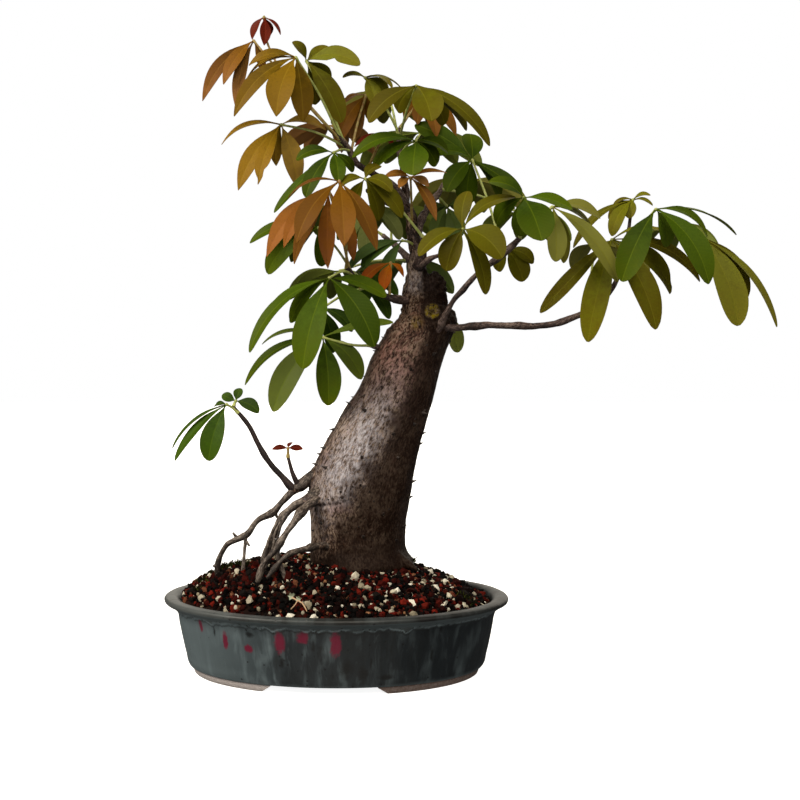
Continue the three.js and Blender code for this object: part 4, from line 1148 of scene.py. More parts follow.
ROOTS: dict[str, list[Row]] = {
    "root_long": [
        (0, 187, 0, 10), (-23, 168, -6, 5.6), (-42, 153, -13, 3.5), (-58, 136, -17, 3),
        (-70, 130, -19, 3), (-78, 119, -20, 2.8), (-98, 107, -18, 2.6), (-104, 94, -17, 2.4),
        (-105, 74, -15, 2.2)],
    "rootlet": [(-80, 117, -20, 2.3), (-81, 106, -22, 1.8), (-82, 95, -24, 1.7), (-83, 76, -24, 1.6)],
    "root_braid": [
        (-3, 161, -12, 8.5), (-24, 150, -26, 4.8), (-44, 138, -35, 3.3), (-57, 115, -38, 3),
        (-63, 97, -39, 3), (-66, 72, -40, 2.6)],
    "root_front": [
        (-6, 152, -17, 8), (-27, 142, -36, 4.3), (-42, 123, -50, 3.1), (-56, 102, -55, 2.8),
        (-63, 94, -56, 2.8), (-70, 76, -57, 2.3)],
    "root_spur": [(-49, 112, -53, 2.4), (-52, 104, -54, 2.1), (-46, 78, -57, 1.7)],
    "root_surface": [(-2, 109, -20, 6.9), (-26, 106, -46, 3.6), (-45, 99, -57, 2.9), (-61, 80, -60, 2.3)],
    "root_back": [(8, 112, 26, 9), (-12, 99, 48, 5), (-22, 88, 62, 3.8), (-32, 70, 74, 3)],
    "root_right": [(32, 110, 24, 9), (48, 97, 46, 5), (58, 86, 60, 3.7), (68, 68, 72, 2.8)],
    "root_rear": [(22, 114, 30, 9), (24, 104, 54, 5.2), (20, 94, 68, 4), (14, 72, 82, 3)],
}
TWIGS: dict[str, list[Row]] = {
    "twig_long": [
        (-38, 156, -11.5, 3.3), (-49, 169, -14, 2.6), (-58, 179, -16, 2.4), (-70, 199, -18, 2.1),
        (-76, 211, -19, 1.9), (-90, 229, -21, 1.4)],
    "twig_short": [(-34, 160, -10.5, 2.6), (-39, 171, -13, 1.9), (-43, 185, -15, 1.3)],
}
TRUNK: list[Row] = [
    (58, 17, 36, 0), (82, 19, 43, 0), (94, 20, 44.5, 0), (104, 17.5, 41.5, 0), (117, 17, 40.6, 0),
    (159, 21, 44.6, 0), (181, 26, 43.6, 1), (199, 32.6, 41, 2), (221, 41, 38.3, 3), (239, 49, 34.6, 4),
    (256, 55, 32.4, 4), (279, 63, 30.2, 4), (294, 71, 29.1, 3), (311, 78, 22.4, 2), (319, 75, 16.5, 3),
    (331, 70, 10.5, 4),
]
FRONT_SPINES = [
    (210, -0.97), (194, -0.97), (180, -0.97), (231, -0.95), (282, -0.93), (165, 0.96), (151, 0.96),
    (126, 0.96), (227, -0.55), (188, -0.15), (178, -0.8), (225, 0.85), (216, 0.7), (131, -0.7),
    (140, 0.5), (188, 0.55), (262, 0.2), (247, -0.4), (208, 0.3), (155, -0.35), (121, 0.15), (275, 0.7),
]
# The leaves' paler and darker drawing is partly their own tone and partly painted light and shade
LEAVES = [
    Leaf("leaf_young_red", Tone.RED, ("crown", 5), (-62, 562, 4), by=[(-54, 528, 4), (-60, 543, 10)], tips=[
        (-62, 538, -8, 10, 15), (-72, 543, 0, 9, 40, 0.16), (-48, 547, 6, 6, 60, 0.13),
        (-57, 546, 18, 8, 20)]),
    Leaf("leaf_young_bronze", Tone.BRONZE, ("crown", 4.45), (-71, 542, -14), by=[(-20, 482, -20)], tips=[
        (-115, 491, -26, 14, 25), (-97, 505, -34, 13, 20), (-86, 484, -30, 12, 20), (-64, 514, -8, 9, 25),
        (-80, 507, 2, 9, 30)]),
    Leaf("leaf_olive_upper", Tone.GOLD, ("crown", 4.35), (-35, 528, -30), tips=[
        (-88, 478, -44, 16, 25), (-52, 478, -54, 24, 15), (-45, 490, -36, 14, 40),
        (-75, 521, -30, 12, 40), (-29, 473, -22, 20, 15), (-78, 508, -12, 9, 60)], film=-0.1),
    Leaf("leaf_gold_top", Tone.OLIVE, ("crown", 4.15), (-26, 525, -2), tips=[
        (20, 522, -14, 19, 35, 0.12), (-38, 541, -8, 12, 50), (4, 473, -20, 20, 15),
        (-6, 504, 16, 15, 20), (-18, 488, 20, 15, 30), (-5, 535, 6, 15, 35, 0.06)],
         film=0.1, eaten={0: [(0.55, 1, 0.4)]}),
    Leaf("leaf_thin_top", Tone.OLIVE, ("upright", 3.6), (24, 511, 2), tips=[
        (5, 511, 0, 8, 50), (55, 502, 6, 9, 70, 0.12), (47, 502, -8, 9, 65), (33, 488, -8, 15, 25),
        (44, 494, 18, 13, 30)]),
    Leaf("leaf_bronze_inner", Tone.BRONZE, ("crown", 3.6), (25, 496, 22), tips=[
        (0, 453, 16, 17, 15), (14, 455, 28, 16, 20), (5, 488, 18, 11, 65), (30, 473, 34, 14, 20)]),
    Leaf("leaf_bronze_dome", Tone.OLIVE, ("upright", 3.2), (68, 504, -36), tips=[
        (27, 473, -42, 19, 30), (81, 474, -62, 26, 12), (131, 453, -40, 15, 35), (111, 466, -30, 14, 35),
        (92, 471, -16, 18, 20), (52, 482, -18, 16, 20)], film=-0.45),
    Leaf("leaf_maroon_back", Tone.BRONZE, ("upright", 4), (75, 494, 22), tips=[
        (69, 471, 16, 13, 25), (85, 460, 14, 14, 20), (102, 461, 26, 12, 25), (57, 477, 34, 15, 20),
        (80, 470, 44, 14, 20)], film=-0.4),
    Leaf("leaf_green_high", Tone.GREEN, ("upper_right", 4.2), (116, 441, 6), tips=[
        (114, 463, 22, 20, 20, 0.05), (67, 471, 14, 18, 20, 0.08), (81, 445, -2, 13, 40),
        (94, 414, -10, 18, 20), (159, 412, 2, 14, 35, 0.04), (111, 403, 20, 20, 15),
        (140, 408, 16, 14, 35)], film=-0.45),
    Leaf("leaf_deep_green", Tone.GREEN, ("upright", 2.3), (68, 457, -30), tips=[
        (65, 428, -52, 26, 10), (13, 443, -36, 14, 40), (30, 432, -26, 13, 35), (95, 447, -24, 14, 45),
        (85, 436, -18, 14, 30)], film=-0.3),
    Leaf("leaf_small_red", Tone.RED, ("crown", 2.4), (41, 462, -12), tips=[
        (15, 452, -14, 8, 55, 0.11), (31, 452, -18, 9, 35), (47, 451, -10, 7, 50)]),
    Leaf("leaf_orange_star", Tone.BRONZE, ("trunk_top", 5.3), (63, 426, -34), tips=[
        (40, 426, -38, 8, 40), (53, 417, -44, 8, 30), (79, 418, -40, 8, 30), (85, 389, -42, 10, 20),
        (94, 430, -30, 8, 55, 0.09)]),
    Leaf("leaf_gold_left", Tone.GOLD, ("crown", 3.95), (-48, 471, -8), tips=[
        (-99, 454, -6, 10, 55), (-85, 415, -24, 17, 20), (-68, 420, -32, 14, 15), (-34, 417, -16, 18, 15),
        (-9, 466, -4, 12, 45), (-52, 436, 6, 14, 25)],
         film=0.1, eaten={2: [(0.95, 1, 0.8), (0.8, -1, 0.4), (0.6, 1, 0.25)]}),
    Leaf("leaf_green_crown", Tone.GREEN, ("crown", 3.75), (-3, 447, -30), tips=[
        (-35, 441, -34, 12, 35), (-54, 396, -40, 10, 40, 0.04), (-27, 409, -46, 15, 20),
        (1, 422, -44, 14, 20), (14, 431, -22, 11, 40)], film=-0.4),
    Leaf("leaf_bronze_front", Tone.BRONZE, ("left", 4), (2, 423, -66), by=[(7, 385, -70)], tips=[
        (-35, 370, -86, 19, 20), (6, 367, -94, 21, 8), (34, 364, -76, 16, 25), (-37, 352, -64, 14, 30),
        (-42, 408, -60, 9, 70)], film=-0.35, own_film={0: -0.3, 2: -0.2}),
    Leaf("leaf_rust_left", Tone.RUST, ("left", 3.75), (-7, 415, -34), tips=[
        (-61, 358, -40, 17, 22), (-46, 366, -48, 14, 20), (-8, 348, -36, 15, 15), (14, 355, -26, 14, 20),
        (-27, 373, -16, 14, 25)]),
    Leaf("leaf_green_left", Tone.GREEN, ("left", 3.35), (-16, 383, -14), tips=[
        (-60, 344, -22, 20, 22), (-75, 370, -14, 12, 40), (-40, 354, -4, 13, 40), (-13, 350, 0, 14, 20)]),
    Leaf("leaf_green_front", Tone.GREEN, ("left", 3.1), (-7, 340, -52), by=[(2, 345, -54)], tips=[
        (-30, 262, -78, 26, 10), (32, 281, -66, 25, 20), (-68, 291, -54, 14, 60), (-76, 276, -60, 13, 45),
        (-40, 302, -42, 13, 30), (42, 324, -44, 15, 45, 0.07)], film=-0.15, own_film={1: -1.0}),
    Leaf("leaf_hidden_mid", Tone.DEEP, ("left", 2.2), (-13, 314, 2), tips=[
        (-41, 302, 0, 12, 35), (13, 294, -4, 13, 35), (-29, 281, 10, 16, 20), (-3, 276, 16, 16, 20)]),
    Leaf("leaf_green_low", Tone.GREEN, ("stub", 2), (-13, 289, -10), by=[(16, 282, -14)], tips=[
        (-80, 248, -10, 12, 55), (-56, 225, -22, 23, 15), (-8, 230, -28, 22, 15), (21, 253, -16, 17, 25),
        (-65, 283, -6, 9, 65), (48, 302, 0, 11, 50, 0.04)], film=0.12),
    Leaf("leaf_small_orange", Tone.ORANGE, ("left", 1.2), (46, 353, -24), tips=[
        (19, 331, -28, 11, 30), (40, 329, -36, 12, 20), (57, 341, -22, 8, 55)]),
    Leaf("leaf_pale_inner", Tone.PALE, ("dark_side", 2), (29, 402, 8), tips=[
        (25, 355, 0, 16, 15), (54, 373, 6, 15, 35), (11, 374, 18, 15, 30), (49, 380, 24, 16, 30)]),
    Leaf("leaf_olive_mid", Tone.OLIVE, ("middle", 2), (24, 425, -40), tips=[
        (3, 418, -44, 12, 50), (47, 414, -48, 14, 35), (56, 392, -36, 15, 25), (37, 436, -32, 13, 45),
        (12, 396, -34, 13, 25), (36, 389, -28, 14, 20)], film=-0.55),
    Leaf("leaf_underside", Tone.OLIVE, ("upper_right", 2.6), (108, 382, -56), tips=[
        (70, 359, -70, 15, 35), (94, 346, -62, 20, 20), (142, 357, -72, 26, 25), (153, 409, -50, 14, 45),
        (128, 326, -50, 15, 25), (112, 414, -44, 16, 20)], film=-0.6),
    Leaf("leaf_dark_inner", Tone.DEEP, ("back_shoot", 2), (94, 402, 66), tips=[
        (85, 372, 60, 17, 20), (103, 373, 52, 19, 15), (114, 397, 70, 16, 40), (80, 395, 74, 15, 40)]),
    Leaf("leaf_broad_right", Tone.GREEN, ("upper_right", 6), (160, 409, -54), tips=[
        (176, 372, -84, 31, 10), (130, 422, -58, 15, 40), (137, 386, -46, 18, 30),
        (202, 399, -50, 15, 50, 0.06), (157, 376, -38, 16, 20)], film=-0.1),
    Leaf("leaf_long_right", Tone.OLIVE, ("upper_right", 5.4), (185, 401, -26), tips=[
        (241, 337, -40, 17, 30), (188, 354, -38, 18, 20), (195, 353, -18, 14, 25),
        (226, 391, -30, 14, 50), (218, 383, -18, 11, 60)], film=0.6),
    Leaf("leaf_branch_tip", Tone.OLIVE, ("upper_right", 4.7), (146, 365, -4), tips=[
        (160, 337, -10, 20, 20), (169, 353, 0, 13, 30), (138, 346, 6, 13, 30)], film=-0.5),
    Leaf("leaf_olive_spread", Tone.OLIVE, ("lower_right", 7), (236, 373, -12), tips=[
        (175, 310, -12, 15, 30, 0.03), (216, 285, -26, 23, 15), (275, 296, -26, 24, 15),
        (312, 337, -2, 13, 30), (287, 327, 2, 19, 25), (290, 374, -8, 9, 65)],
         film=-0.15, eaten={4: [(0.9, -1, 0.6)]}),
    Leaf("leaf_bright_right", Tone.GREEN, ("lower_right", 6.3), (274, 399, -36), tips=[
        (245, 337, -54, 24, 15), (320, 335, -50, 25, 25), (318, 375, -32, 13, 50, 0.17),
        (343, 377, -24, 11, 80, 0.1), (284, 367, -22, 16, 25)], own_film={1: -0.35}),
    Leaf("leaf_far_right", Tone.OLIVE, ("lower_right_tip", 1.3), (314, 375, -10), tips=[
        (346, 299, -22, 27, 15), (354, 324, -8, 17, 30), (379, 298, -2, 12, 50, 0.12),
        (331, 340, 6, 16, 25)], film=0.2, own_film={1: -0.7}),
    Leaf("leaf_new_right", Tone.OLIVE, ("lower_right_tip", 2), (254, 407, 4), tips=[
        (269, 411, 4, 6, 55), (271, 402, 0, 6, 55), (237, 402, 6, 6, 55), (251, 391, -4, 11, 25),
        (203, 366, 2, 9, 45, 0.12), (233, 391, 12, 10, 35), (236, 376, -6, 13, 25)], film=-0.3),
    Leaf("leaf_behind_trunk", Tone.GREEN, ("trunk_back", 2), (95, 311, 50), tips=[
        (104, 276, 44, 16, 20), (89, 280, 56, 17, 20), (80, 292, 60, 15, 35)]),
    Leaf("leaf_blue_mid", Tone.DEEP, ("trunk_top", 4.2), (56, 372, -10), tips=[
        (21, 349, -14, 13, 35), (8, 346, -2, 12, 40), (40, 337, -12, 12, 25)], film=0.3),
    Leaf("leaf_dark_mid", Tone.DEEP, ("left", 2.8), (14, 345, 0), tips=[
        (52, 325, -8, 16, 40), (45, 305, -2, 14, 30), (25, 319, 4, 16, 20)]),
    Leaf("twig_leaf_large", Tone.DEEP, ("twig_long", 4.7), (-96, 231, -24), tips=[
        (-112, 182, -36, 20, 12), (-141, 182, -28, 12, 50, 0.08), (-143, 193, -20, 10, 72, 0.1),
        (-107, 229, -20, 6, 50)]),
    Leaf("twig_leaf_tip", Tone.DEEP, ("twig_long", 5), (-88, 234, -18), tips=[
        (-100, 239, -18, 9, 25, 0.03), (-84, 245, -14, 9, 25, 0.03), (-68, 224, -20, 13, 35, 0.11)]),
    Leaf("twig_leaf_maroon", Tone.RED, ("twig_short", 2), (-43, 193, -16), tips=[
        (-57, 192, -18, 6, 45, 0.07), (-30, 192, -18, 7, 45, 0.07), (-39, 198, -10, 5, 50),
    ], film=-0.6),
]
# Far leaves: name, tone, stem, hub, how many leaflets, heading and length
FAR_LEAVES = [fan_leaf(f"leaf_rear_{name}", *row) for name, *row in (
    ("top", Tone.OLIVE, ("upright", 2.8), (44, 498, 56), 5, 95, 56),
    ("crown", Tone.GREEN, ("upright", 1.5), (72, 464, 72), 5, 90, 60),
    ("high_left", Tone.BRONZE, ("crown", 2.9), (-4, 470, 50), 5, 120, 54),
    ("left", Tone.GREEN, ("back_low", 3), (-8, 402, 80), 5, 140, 60),
    ("middle", Tone.GREEN, ("back_low", 2.4), (46, 400, 98), 6, 95, 58),
    ("right", Tone.OLIVE, ("back_shoot", 3), (112, 424, 92), 5, 75, 60),
    ("side", Tone.GREEN, ("back_shoot", 2.5), (156, 396, 60), 5, 50, 56),
    ("low", Tone.DEEP, ("back_low", 1.6), (58, 354, 84), 5, 115, 58),
    ("low_left", Tone.GREEN, ("back_low", 1.1), (2, 346, 62), 5, 140, 56),
    ("branch", Tone.OLIVE, ("lower_right", 3.8), (222, 370, 46), 4, 55, 54),
    ("tip", Tone.GREEN, ("lower_right_tip", 0.8), (284, 384, 40), 5, 50, 56),
)]


# Wood


def trunk_middle(up: Array) -> Array:
    """Follows the middle of the trunk and its neck.

    Args:
        up: real heights.

    Returns:
        The middle at each height, in millimetres.
    """
    rows = [seen(across, height, depth) for height, across, _, depth in TRUNK[:-3]]
    rows += [seen(*row[:3]) for row in SHOOTS["trunk_top"][2:]]
    line = np.array(rows)
    return np.column_stack([np.interp(up, line[:, 2], line[:, k]) for k in range(3)])


def on_trunk(up: Array, turn: Array, growth: float = 0.0) -> Array:
    """Finds places on the trunk's skin.

    Args:
        up: heights, as seen.
        turn: the way round the trunk, in radians. -pi/2 faces the eye.
        growth: how far out of the skin the place lies.

    Returns:
        The places, in millimetres.
    """
    table = np.array(TRUNK, float)
    across, half, depth = through(table[:, 0], table[:, 1:], np.atleast_1d(up)).T
    middle = np.array([seen(a, u, d) for a, u, d in zip(across, np.atleast_1d(up), depth)])
    swell = 1 + 0.02 * np.sin(3 * turn + up / 40) + 0.015 * np.sin(5 * turn - up / 23)
    reach = half * swell + growth
    return middle + np.column_stack([np.cos(turn) * reach, np.sin(turn) * reach * 0.94, np.zeros_like(reach)])


def limb(draft: Draft, rows: Sequence[Row], sides: int = 12, step: float = 2.5, knots: float = 0.1,
         seed: float = 1.0, grow: float = 1.0) -> None:
    """Adds a branch, root or twig along its rows, with knots and a rounded end.

    Args:
        draft: the mesh in the making.
        rows: places as seen, with the radius at each.
        sides: how many points go round it.
        step: the distance between rings.
        knots: how far its joints swell, as a share of the radius.
        seed: picks its unevenness.
        grow: the share of the radius that is drawn.
    """
    path = np.array([seen(*row[:3]) for row in rows])
    keys = path_lengths(path)
    steps = np.linspace(0, keys[-1], max(4, int(keys[-1] / step)))
    line = through(keys, path, steps)
    radius = np.maximum(through(keys, np.array([[row[3]] for row in rows]), steps)[:, 0], 0.8) * grow
    joints = np.abs(np.sin(steps / (9 + 3 * math.sin(seed * 7)) + seed))
    radius = radius * (1 + knots * (joints ** 6) * 1.6)
    wander = np.array([0.5, 0.4, -0.5]) * min(radius.mean() / 3, 1)
    line = line + rough(line, 16.0, 2, seed + 5)[:, None] * wander
    tip = line[-1] + unit(line[-1] - line[-2]) * radius[-1] * 0.7
    line, radius = np.vstack([line, tip]), np.append(radius, radius[-1] * 0.45)
    points = tube(line, radius, sides, knots * 0.8, seed)
    turn = np.tile(once_round(sides), len(line))
    reach = np.repeat(radius, sides)
    along = np.repeat(np.append(steps, steps[-1] + 2), sides)
    grain = np.column_stack([np.cos(turn) * reach, np.sin(turn) * reach, along])
    draft.add(points, tube_faces(len(line), sides), grain=grain + np.array([seed * 31, seed * 17, seed * 53]))


# How thick each root is drawn against the part's, whose facets stand proud of the bark
ROOT_SHARES = {
    "root_long": 0.86, "rootlet": 0.8, "root_braid": 0.92, "root_front": 0.86, "root_surface": 0.74,
}
# Thin strands and broken stubs that lie against the roots
FINE_ROOTS: dict[str, list[Row]] = {
    "braid_front": [(-43, 137, -39, 1.4), (-49, 127, -42, 1.2), (-52, 116, -43, 1.1), (-57, 102, -44, 1.0),
                    (-63, 88, -44, 1.0)],
    "braid_back": [(-44, 137, -38, 1.4), (-55, 124, -41, 1.2), (-60, 112, -42, 1.1), (-63, 98, -43, 1.0),
                   (-66, 82, -43, 1.0)],
    "braid_twist": [(-50, 129, -41, 1.0), (-55, 118, -43, 0.9), (-56, 108, -44, 0.9), (-61, 96, -44, 0.9)],
    "stub_high": [(-54, 138, -15, 1.6), (-53, 133, -17, 0.9)],
    "stub_left": [(-87, 114, -19, 1.7), (-91, 119, -20, 0.9)],
    "stub_low": [(-80, 112, -21, 1.4), (-77, 108, -23, 0.9)],
    "stub_foot": [(-104, 92, -17, 1.2), (-108, 90, -18, 0.8)],
}


def slim_start(rows: Sequence[Row]) -> list[Row]:
    """Returns: a root's rows with a slimmer start, so that its base sinks into the trunk."""
    across, up, depth, radius = rows[0]
    return [(across, up, depth, min(radius, rows[1][3] * 1.1)), *rows[1:]]


@dataclass
class Trunk:
    """The bottle trunk with its neck, its burl and the collars where roots and branches leave it."""

    sides: int = 72
    voxel: float = 1.15
    soften_rounds: int = 5
    buried: float = 72.0
    burl: tuple[Row, Row, float] = ((85, 326, 4), (9.5, 9, 20), 0.12)
    scar: tuple[float, float] = (81.6, 311.6)
    spot: tuple[float, float] = (68.7, 302.0)
    crease: tuple[float, float, float] = (-26.0, -2.0, 149.0)
    toe: tuple[Row, ...] = ((44, 106, -14, 8), (52, 97, -18, 5.5), (60, 92.5, -21, 3.8), (68, 87, -24, 2.2))

    def raw(self) -> Draft:
        """Returns: the closed shapes that the trunk is joined from."""
        draft = Draft()
        ups = np.arange(self.buried, 331, 3.0)
        rings = [on_trunk(np.full(self.sides, up), once_round(self.sides)) for up in ups]
        draft.add(np.concatenate(rings), tube_faces(len(ups), self.sides))
        limb(draft, SHOOTS["trunk_top"], 28, 3, 0.02, 2.0)
        limb(draft, self.toe, 16, 2.5, 0.0, 3.0)
        for k, (name, rows) in enumerate({**SHOOTS, **ROOTS}.items()):
            if name not in ("trunk_top", "lower_right_tip", "rootlet", "root_spur"):
                rows = slim_start(rows)[:3] if name in ROOTS else rows[:2]
                limb(draft, rows, 16, 2.5, 0.0, k, ROOT_SHARES.get(name, 1.0))
        place, size, lean = self.burl
        up, turn = np.meshgrid(np.linspace(-1.5, 1.5, 22), once_round(28), indexing="ij")
        ball = np.column_stack([(np.cos(up) * np.cos(turn)).ravel() * size[0],
                                (np.cos(up) * np.sin(turn)).ravel() * size[1], np.sin(up).ravel() * size[2]])
        ball *= 1 + 0.16 * rough(ball, 9.0, 3, 4.0)[:, None]
        ball[:, 0] -= ball[:, 2] * lean
        draft.add(ball + seen(*place), tube_faces(22, 28))
        return draft

    def joined(self) -> tuple[Array, Faces, Array]:
        """Joins the shapes into one skin and softens the joins.

        Returns:
            The skin's points in millimetres, its faces and the way out at each point.
        """
        shape = self.raw().piece("trunk_in_the_rough", [])
        skin = shape.modifiers.new("joined", "REMESH")
        skin.mode = "VOXEL"
        skin.voxel_size = self.voxel * MM
        soft = shape.modifiers.new("softened", "SMOOTH")
        soft.factor = 0.5
        soft.iterations = self.soften_rounds
        mesh = worked(shape)
        points, outward = np.zeros((2, len(mesh.vertices) * 3))
        mesh.vertices.foreach_get("co", points)
        mesh.vertices.foreach_get("normal", outward)
        faces = [list(face.vertices) for face in mesh.polygons]
        bpy.data.objects.remove(shape)
        return (points.reshape(-1, 3) - ORIGIN) / MM, faces, outward.reshape(-1, 3)

    def sag(self, across: Array) -> Array:
        """Returns: the height of the crease at each place across the trunk."""
        return self.crease[2] + 2.0 * np.sin(across / 9)

    def relief(self, points: Array, fibre: Array) -> Array:
        """Works out how far the bark stands in or out.

        Args:
            points: places on the skin.
            fibre: the same places measured from the trunk's middle line.

        Returns:
            A distance for each place, in millimetres.
        """
        x, y, z = points.T
        lumps = 1.0 * rough(points, 24.0, 2, 1.0)
        furrows = 0.24 * rough(fibre * [1, 1, 0.35], 3.4, 3, 2.0)
        wrinkles = 0.3 * rough(points * [0.2, 0.2, 1], 4.5, 2, 9.0) * (1 - ease(150, 210, z))
        knobs = ease(282, 300, z) * (1 - 0.6 * ease(325, 350, z)) * 1.7 * rough(points, 5.5, 3, 3.0)
        low, high, _ = self.crease
        span = ease(low - 8, low + 4, x) * (1 - ease(high, high + 14, x)) * (y < 0)
        crease = -0.9 * bump(z - self.sag(x), 1.3) * span
        away = np.hypot(x - self.scar[0], z - self.scar[1]) + 40 * (y > 0)
        ring = 1.6 * bump(away - 5.6, 1.7) - 1.0 * bump(away, 3.2)
        near_burl = np.linalg.norm(points - seen(*self.burl[0]), axis=1)
        burl = 2.5 * (1 - ease(16, 26, near_burl)) * rough(points, 5.0, 3, 6.0)
        flare = 0.9 * (1 - ease(92, 112, z)) * rough(fibre * [1, 1, 0.3], 11.0, 2, 7.0)
        return lumps + furrows + wrinkles + knobs + crease + ring + burl + flare

    def build(self) -> Piece:
        """Returns: the trunk, with its bark in relief and the marks of its patches, its painted highlight and
        its painted shade.
        """
        points, faces, outward = self.joined()
        fibre = points - trunk_middle(points[:, 2]) * [1, 1, 0]
        points = points + outward * self.relief(points, fibre)[:, None]
        x, y, z = points.T
        broken = rough(points, 14.0, 3, 8.0)
        front = ease(8, -18, y)
        shoulder = bump(np.hypot(x - 48, (z - 266) * 0.8), 26)
        stain = bump(np.hypot(x, (z - 144) * 1.3), 8)
        ruddy = 0.85 * shoulder + 0.85 * stain + 0.3 * ease(0.25, 0.6, broken) * ease(120, 180, z)
        # Painted highlight: a silvery sheen on the left front, where the key light glances off the trunk, and
        # a paler band on the neck
        silvery_sheen_and_neck = front * (0.95 * bump(np.hypot((x - 14 - 0.5 * (z - 190)) / 0.75, (z - 192) / 2.0), 26)
                           + 0.85 * ease(322, 334, z) * ease(92, 76, x) * (1 - ease(385, 398, z)))
        away = np.hypot(x - self.scar[0], z - self.scar[1])
        scarred = front * ((1 - ease(5.5, 7.5, away)) * (0.55 + 0.45 * ease(1.0, 4.0, away))
                           + 0.5 * bump(np.hypot(x - self.spot[0], z - self.spot[1]), 5))
        patches = np.clip(np.column_stack([ruddy * front, silvery_sheen_and_neck, scarred]), 0, 1)
        # The burl right of the neck is drawn dark: partly its own dark bark and partly painted shade
        burled = ease(74, 79, x) * ease(316, 322, z) * (1 - ease(352, 358, z))
        # Painted shade: the right side, away from the key light, the left edge of the upper trunk and the
        # crease are drawn dark
        turned = fibre[:, 0] / np.interp(z, [90, 160, 200, 250, 300, 330], [42, 44, 40, 33, 28, 12])
        limit = np.interp(z, [100, 150, 200, 260], [-0.8, -0.6, -0.22, -0.12])
        painted_side_shade = 0.86 * ease(0, 0.65, turned - limit + 0.3 * broken)
        painted_side_shade = painted_side_shade + 0.3 * ease(0.55, 0.95, -turned) * ease(205, 250, z) * (1 - ease(300, 320, z))
        painted_crease_shade = 0.6 * bump(z - self.sag(x), 1.5) * (x < self.crease[1] + 4) * (y < 0)
        # The dark mark: a stained foot by the soil, then the burl and the painted shade; the scar keeps its
        # colours inside a dark outline
        soaked = 0.85 * (1 - ease(95, 116, z + 6 * broken)) + (0.86 + 0.3 * broken) * burled + painted_side_shade + painted_crease_shade
        soaked = np.clip(soaked, 0, 0.93) * (1 - 0.85 * np.clip(scarred, 0, 1))
        soaked = soaked + front * (0.5 * bump(away - 7.6, 1.4) + 0.25 * (1 - ease(1, 3, away)))
        soaked = np.clip(soaked, 0, 0.93)
        draft = Draft()
        draft.add(points, faces, grain=fibre, patches=patches, soaked=soaked)
        return settle(draft.piece("trunk", [TRUNK_BARK.material("trunk")], edge=80), "bark", "wood")


@dataclass
class Limbs:
    """Branches, roots or twigs that leave the trunk, each along the rows of its table.

    Attributes:
        name: the piece's name.
        table: the limbs' rows by name.
        finish: their bark.
        knots: how far their joints swell.
        sides: how many points go round a limb.
    """

    name: str
    table: dict[str, list[Row]]
    finish: BarkFinish
    knots: float
    sides: int = 12

    def build(self) -> Piece:
        """Returns: the limbs as one piece."""
        draft = Draft()
        for k, (name, rows) in enumerate(self.table.items()):
            if name != "trunk_top":
                rows = slim_start(rows) if self.table is ROOTS else rows
                limb(draft, rows, self.sides, 2.0, self.knots, k + 1.0, ROOT_SHARES.get(name, 1.0))
        return settle(draft.piece(self.name, [self.finish.material(self.name)], edge=80), "bark")


@dataclass
class Spines:
    """The trunk's short, dark, cone-shaped spines: those that the solid has and smaller ones between."""

    STEP = 1664525
    SHIFT = 1013904223
    CYCLE = 2 ** 32

    height: float = 4.8
    radius: float = 1.5
    sunk: float = 1.6
    far_count: int = 20
    small_count: int = 60
    sides: int = 7

    def places(self) -> list[tuple[float, float, float]]:
        """Returns: for each spine its height on the trunk, its turn and its share of the full size."""
        found = [(up, -math.acos(across), 1.0) for up, across in FRONT_SPINES]
        # The same repeatable numbers from 0 to 1 as place the solid's far spines
        state, shares = 7, []
        for _ in range(2 * self.far_count):
            state = (state * self.STEP + self.SHIFT) % self.CYCLE
            shares.append(state / self.CYCLE)
        for k in range(self.far_count):
            up = 112 + ((k + shares[2 * k]) / self.far_count) * 188
            found.append((up, 0.35 + shares[2 * k + 1] * (math.pi - 0.7), 1.0))
        rng = np.random.default_rng(12)
        for _ in range(self.small_count):
            found.append((rng.uniform(108, 305), rng.uniform(-math.pi, math.pi), rng.uniform(0.3, 0.65)))
        return found

    def build(self) -> Piece:
        """Returns: the spines as one piece."""
        draft = Draft()
        rng = np.random.default_rng(3)
        shares = np.array([0.0, 0.25, 0.6, 1.0])
        for up, turn, size in self.places():
            foot = on_trunk(np.array([up]), np.array([turn]))[0]
            middle = trunk_middle(np.array([foot[2]]))[0]
            out = unit((foot - middle) * [1, 1, 0])
            way = unit(out + [0, 0, rng.uniform(0.05, 0.45)] + rng.normal(0, 0.12, 3))
            line = foot - out * self.sunk + way * (shares * (self.height * size + self.sunk))[:, None]
            line[-1] += [0, 0, rng.uniform(-0.1, 0.5)]
            radius = self.radius * (0.5 + 0.5 * size) * np.array([1.35, 1.0, 0.55, 0.06])
            grain = np.repeat(line, self.sides, axis=0)
            draft.add(tube(line, radius, self.sides), tube_faces(4, self.sides), grain=grain)
        return settle(draft.piece("spines", [SPINE_BARK.material("spines")], edge=50), "bark")


# Pot


def in_pot(points: Array) -> Array:
    """Turns places as the pot stands.

    Args:
        points: places in the pot's own frame.

    Returns:
        The places, in millimetres from the pot's middle.
    """
    x, y, z = np.asarray(points, float).T
    return np.column_stack([x * math.cos(POT_TURN) - y * math.sin(POT_TURN) + POT_MIDDLE,
                            x * math.sin(POT_TURN) + y * math.cos(POT_TURN), z])


@dataclass
class Blot:
    """A drip in the glaze: where it is seen, its half width and half height in millimetres."""

    across: float
    up: float
    half_width: float
    half_height: float


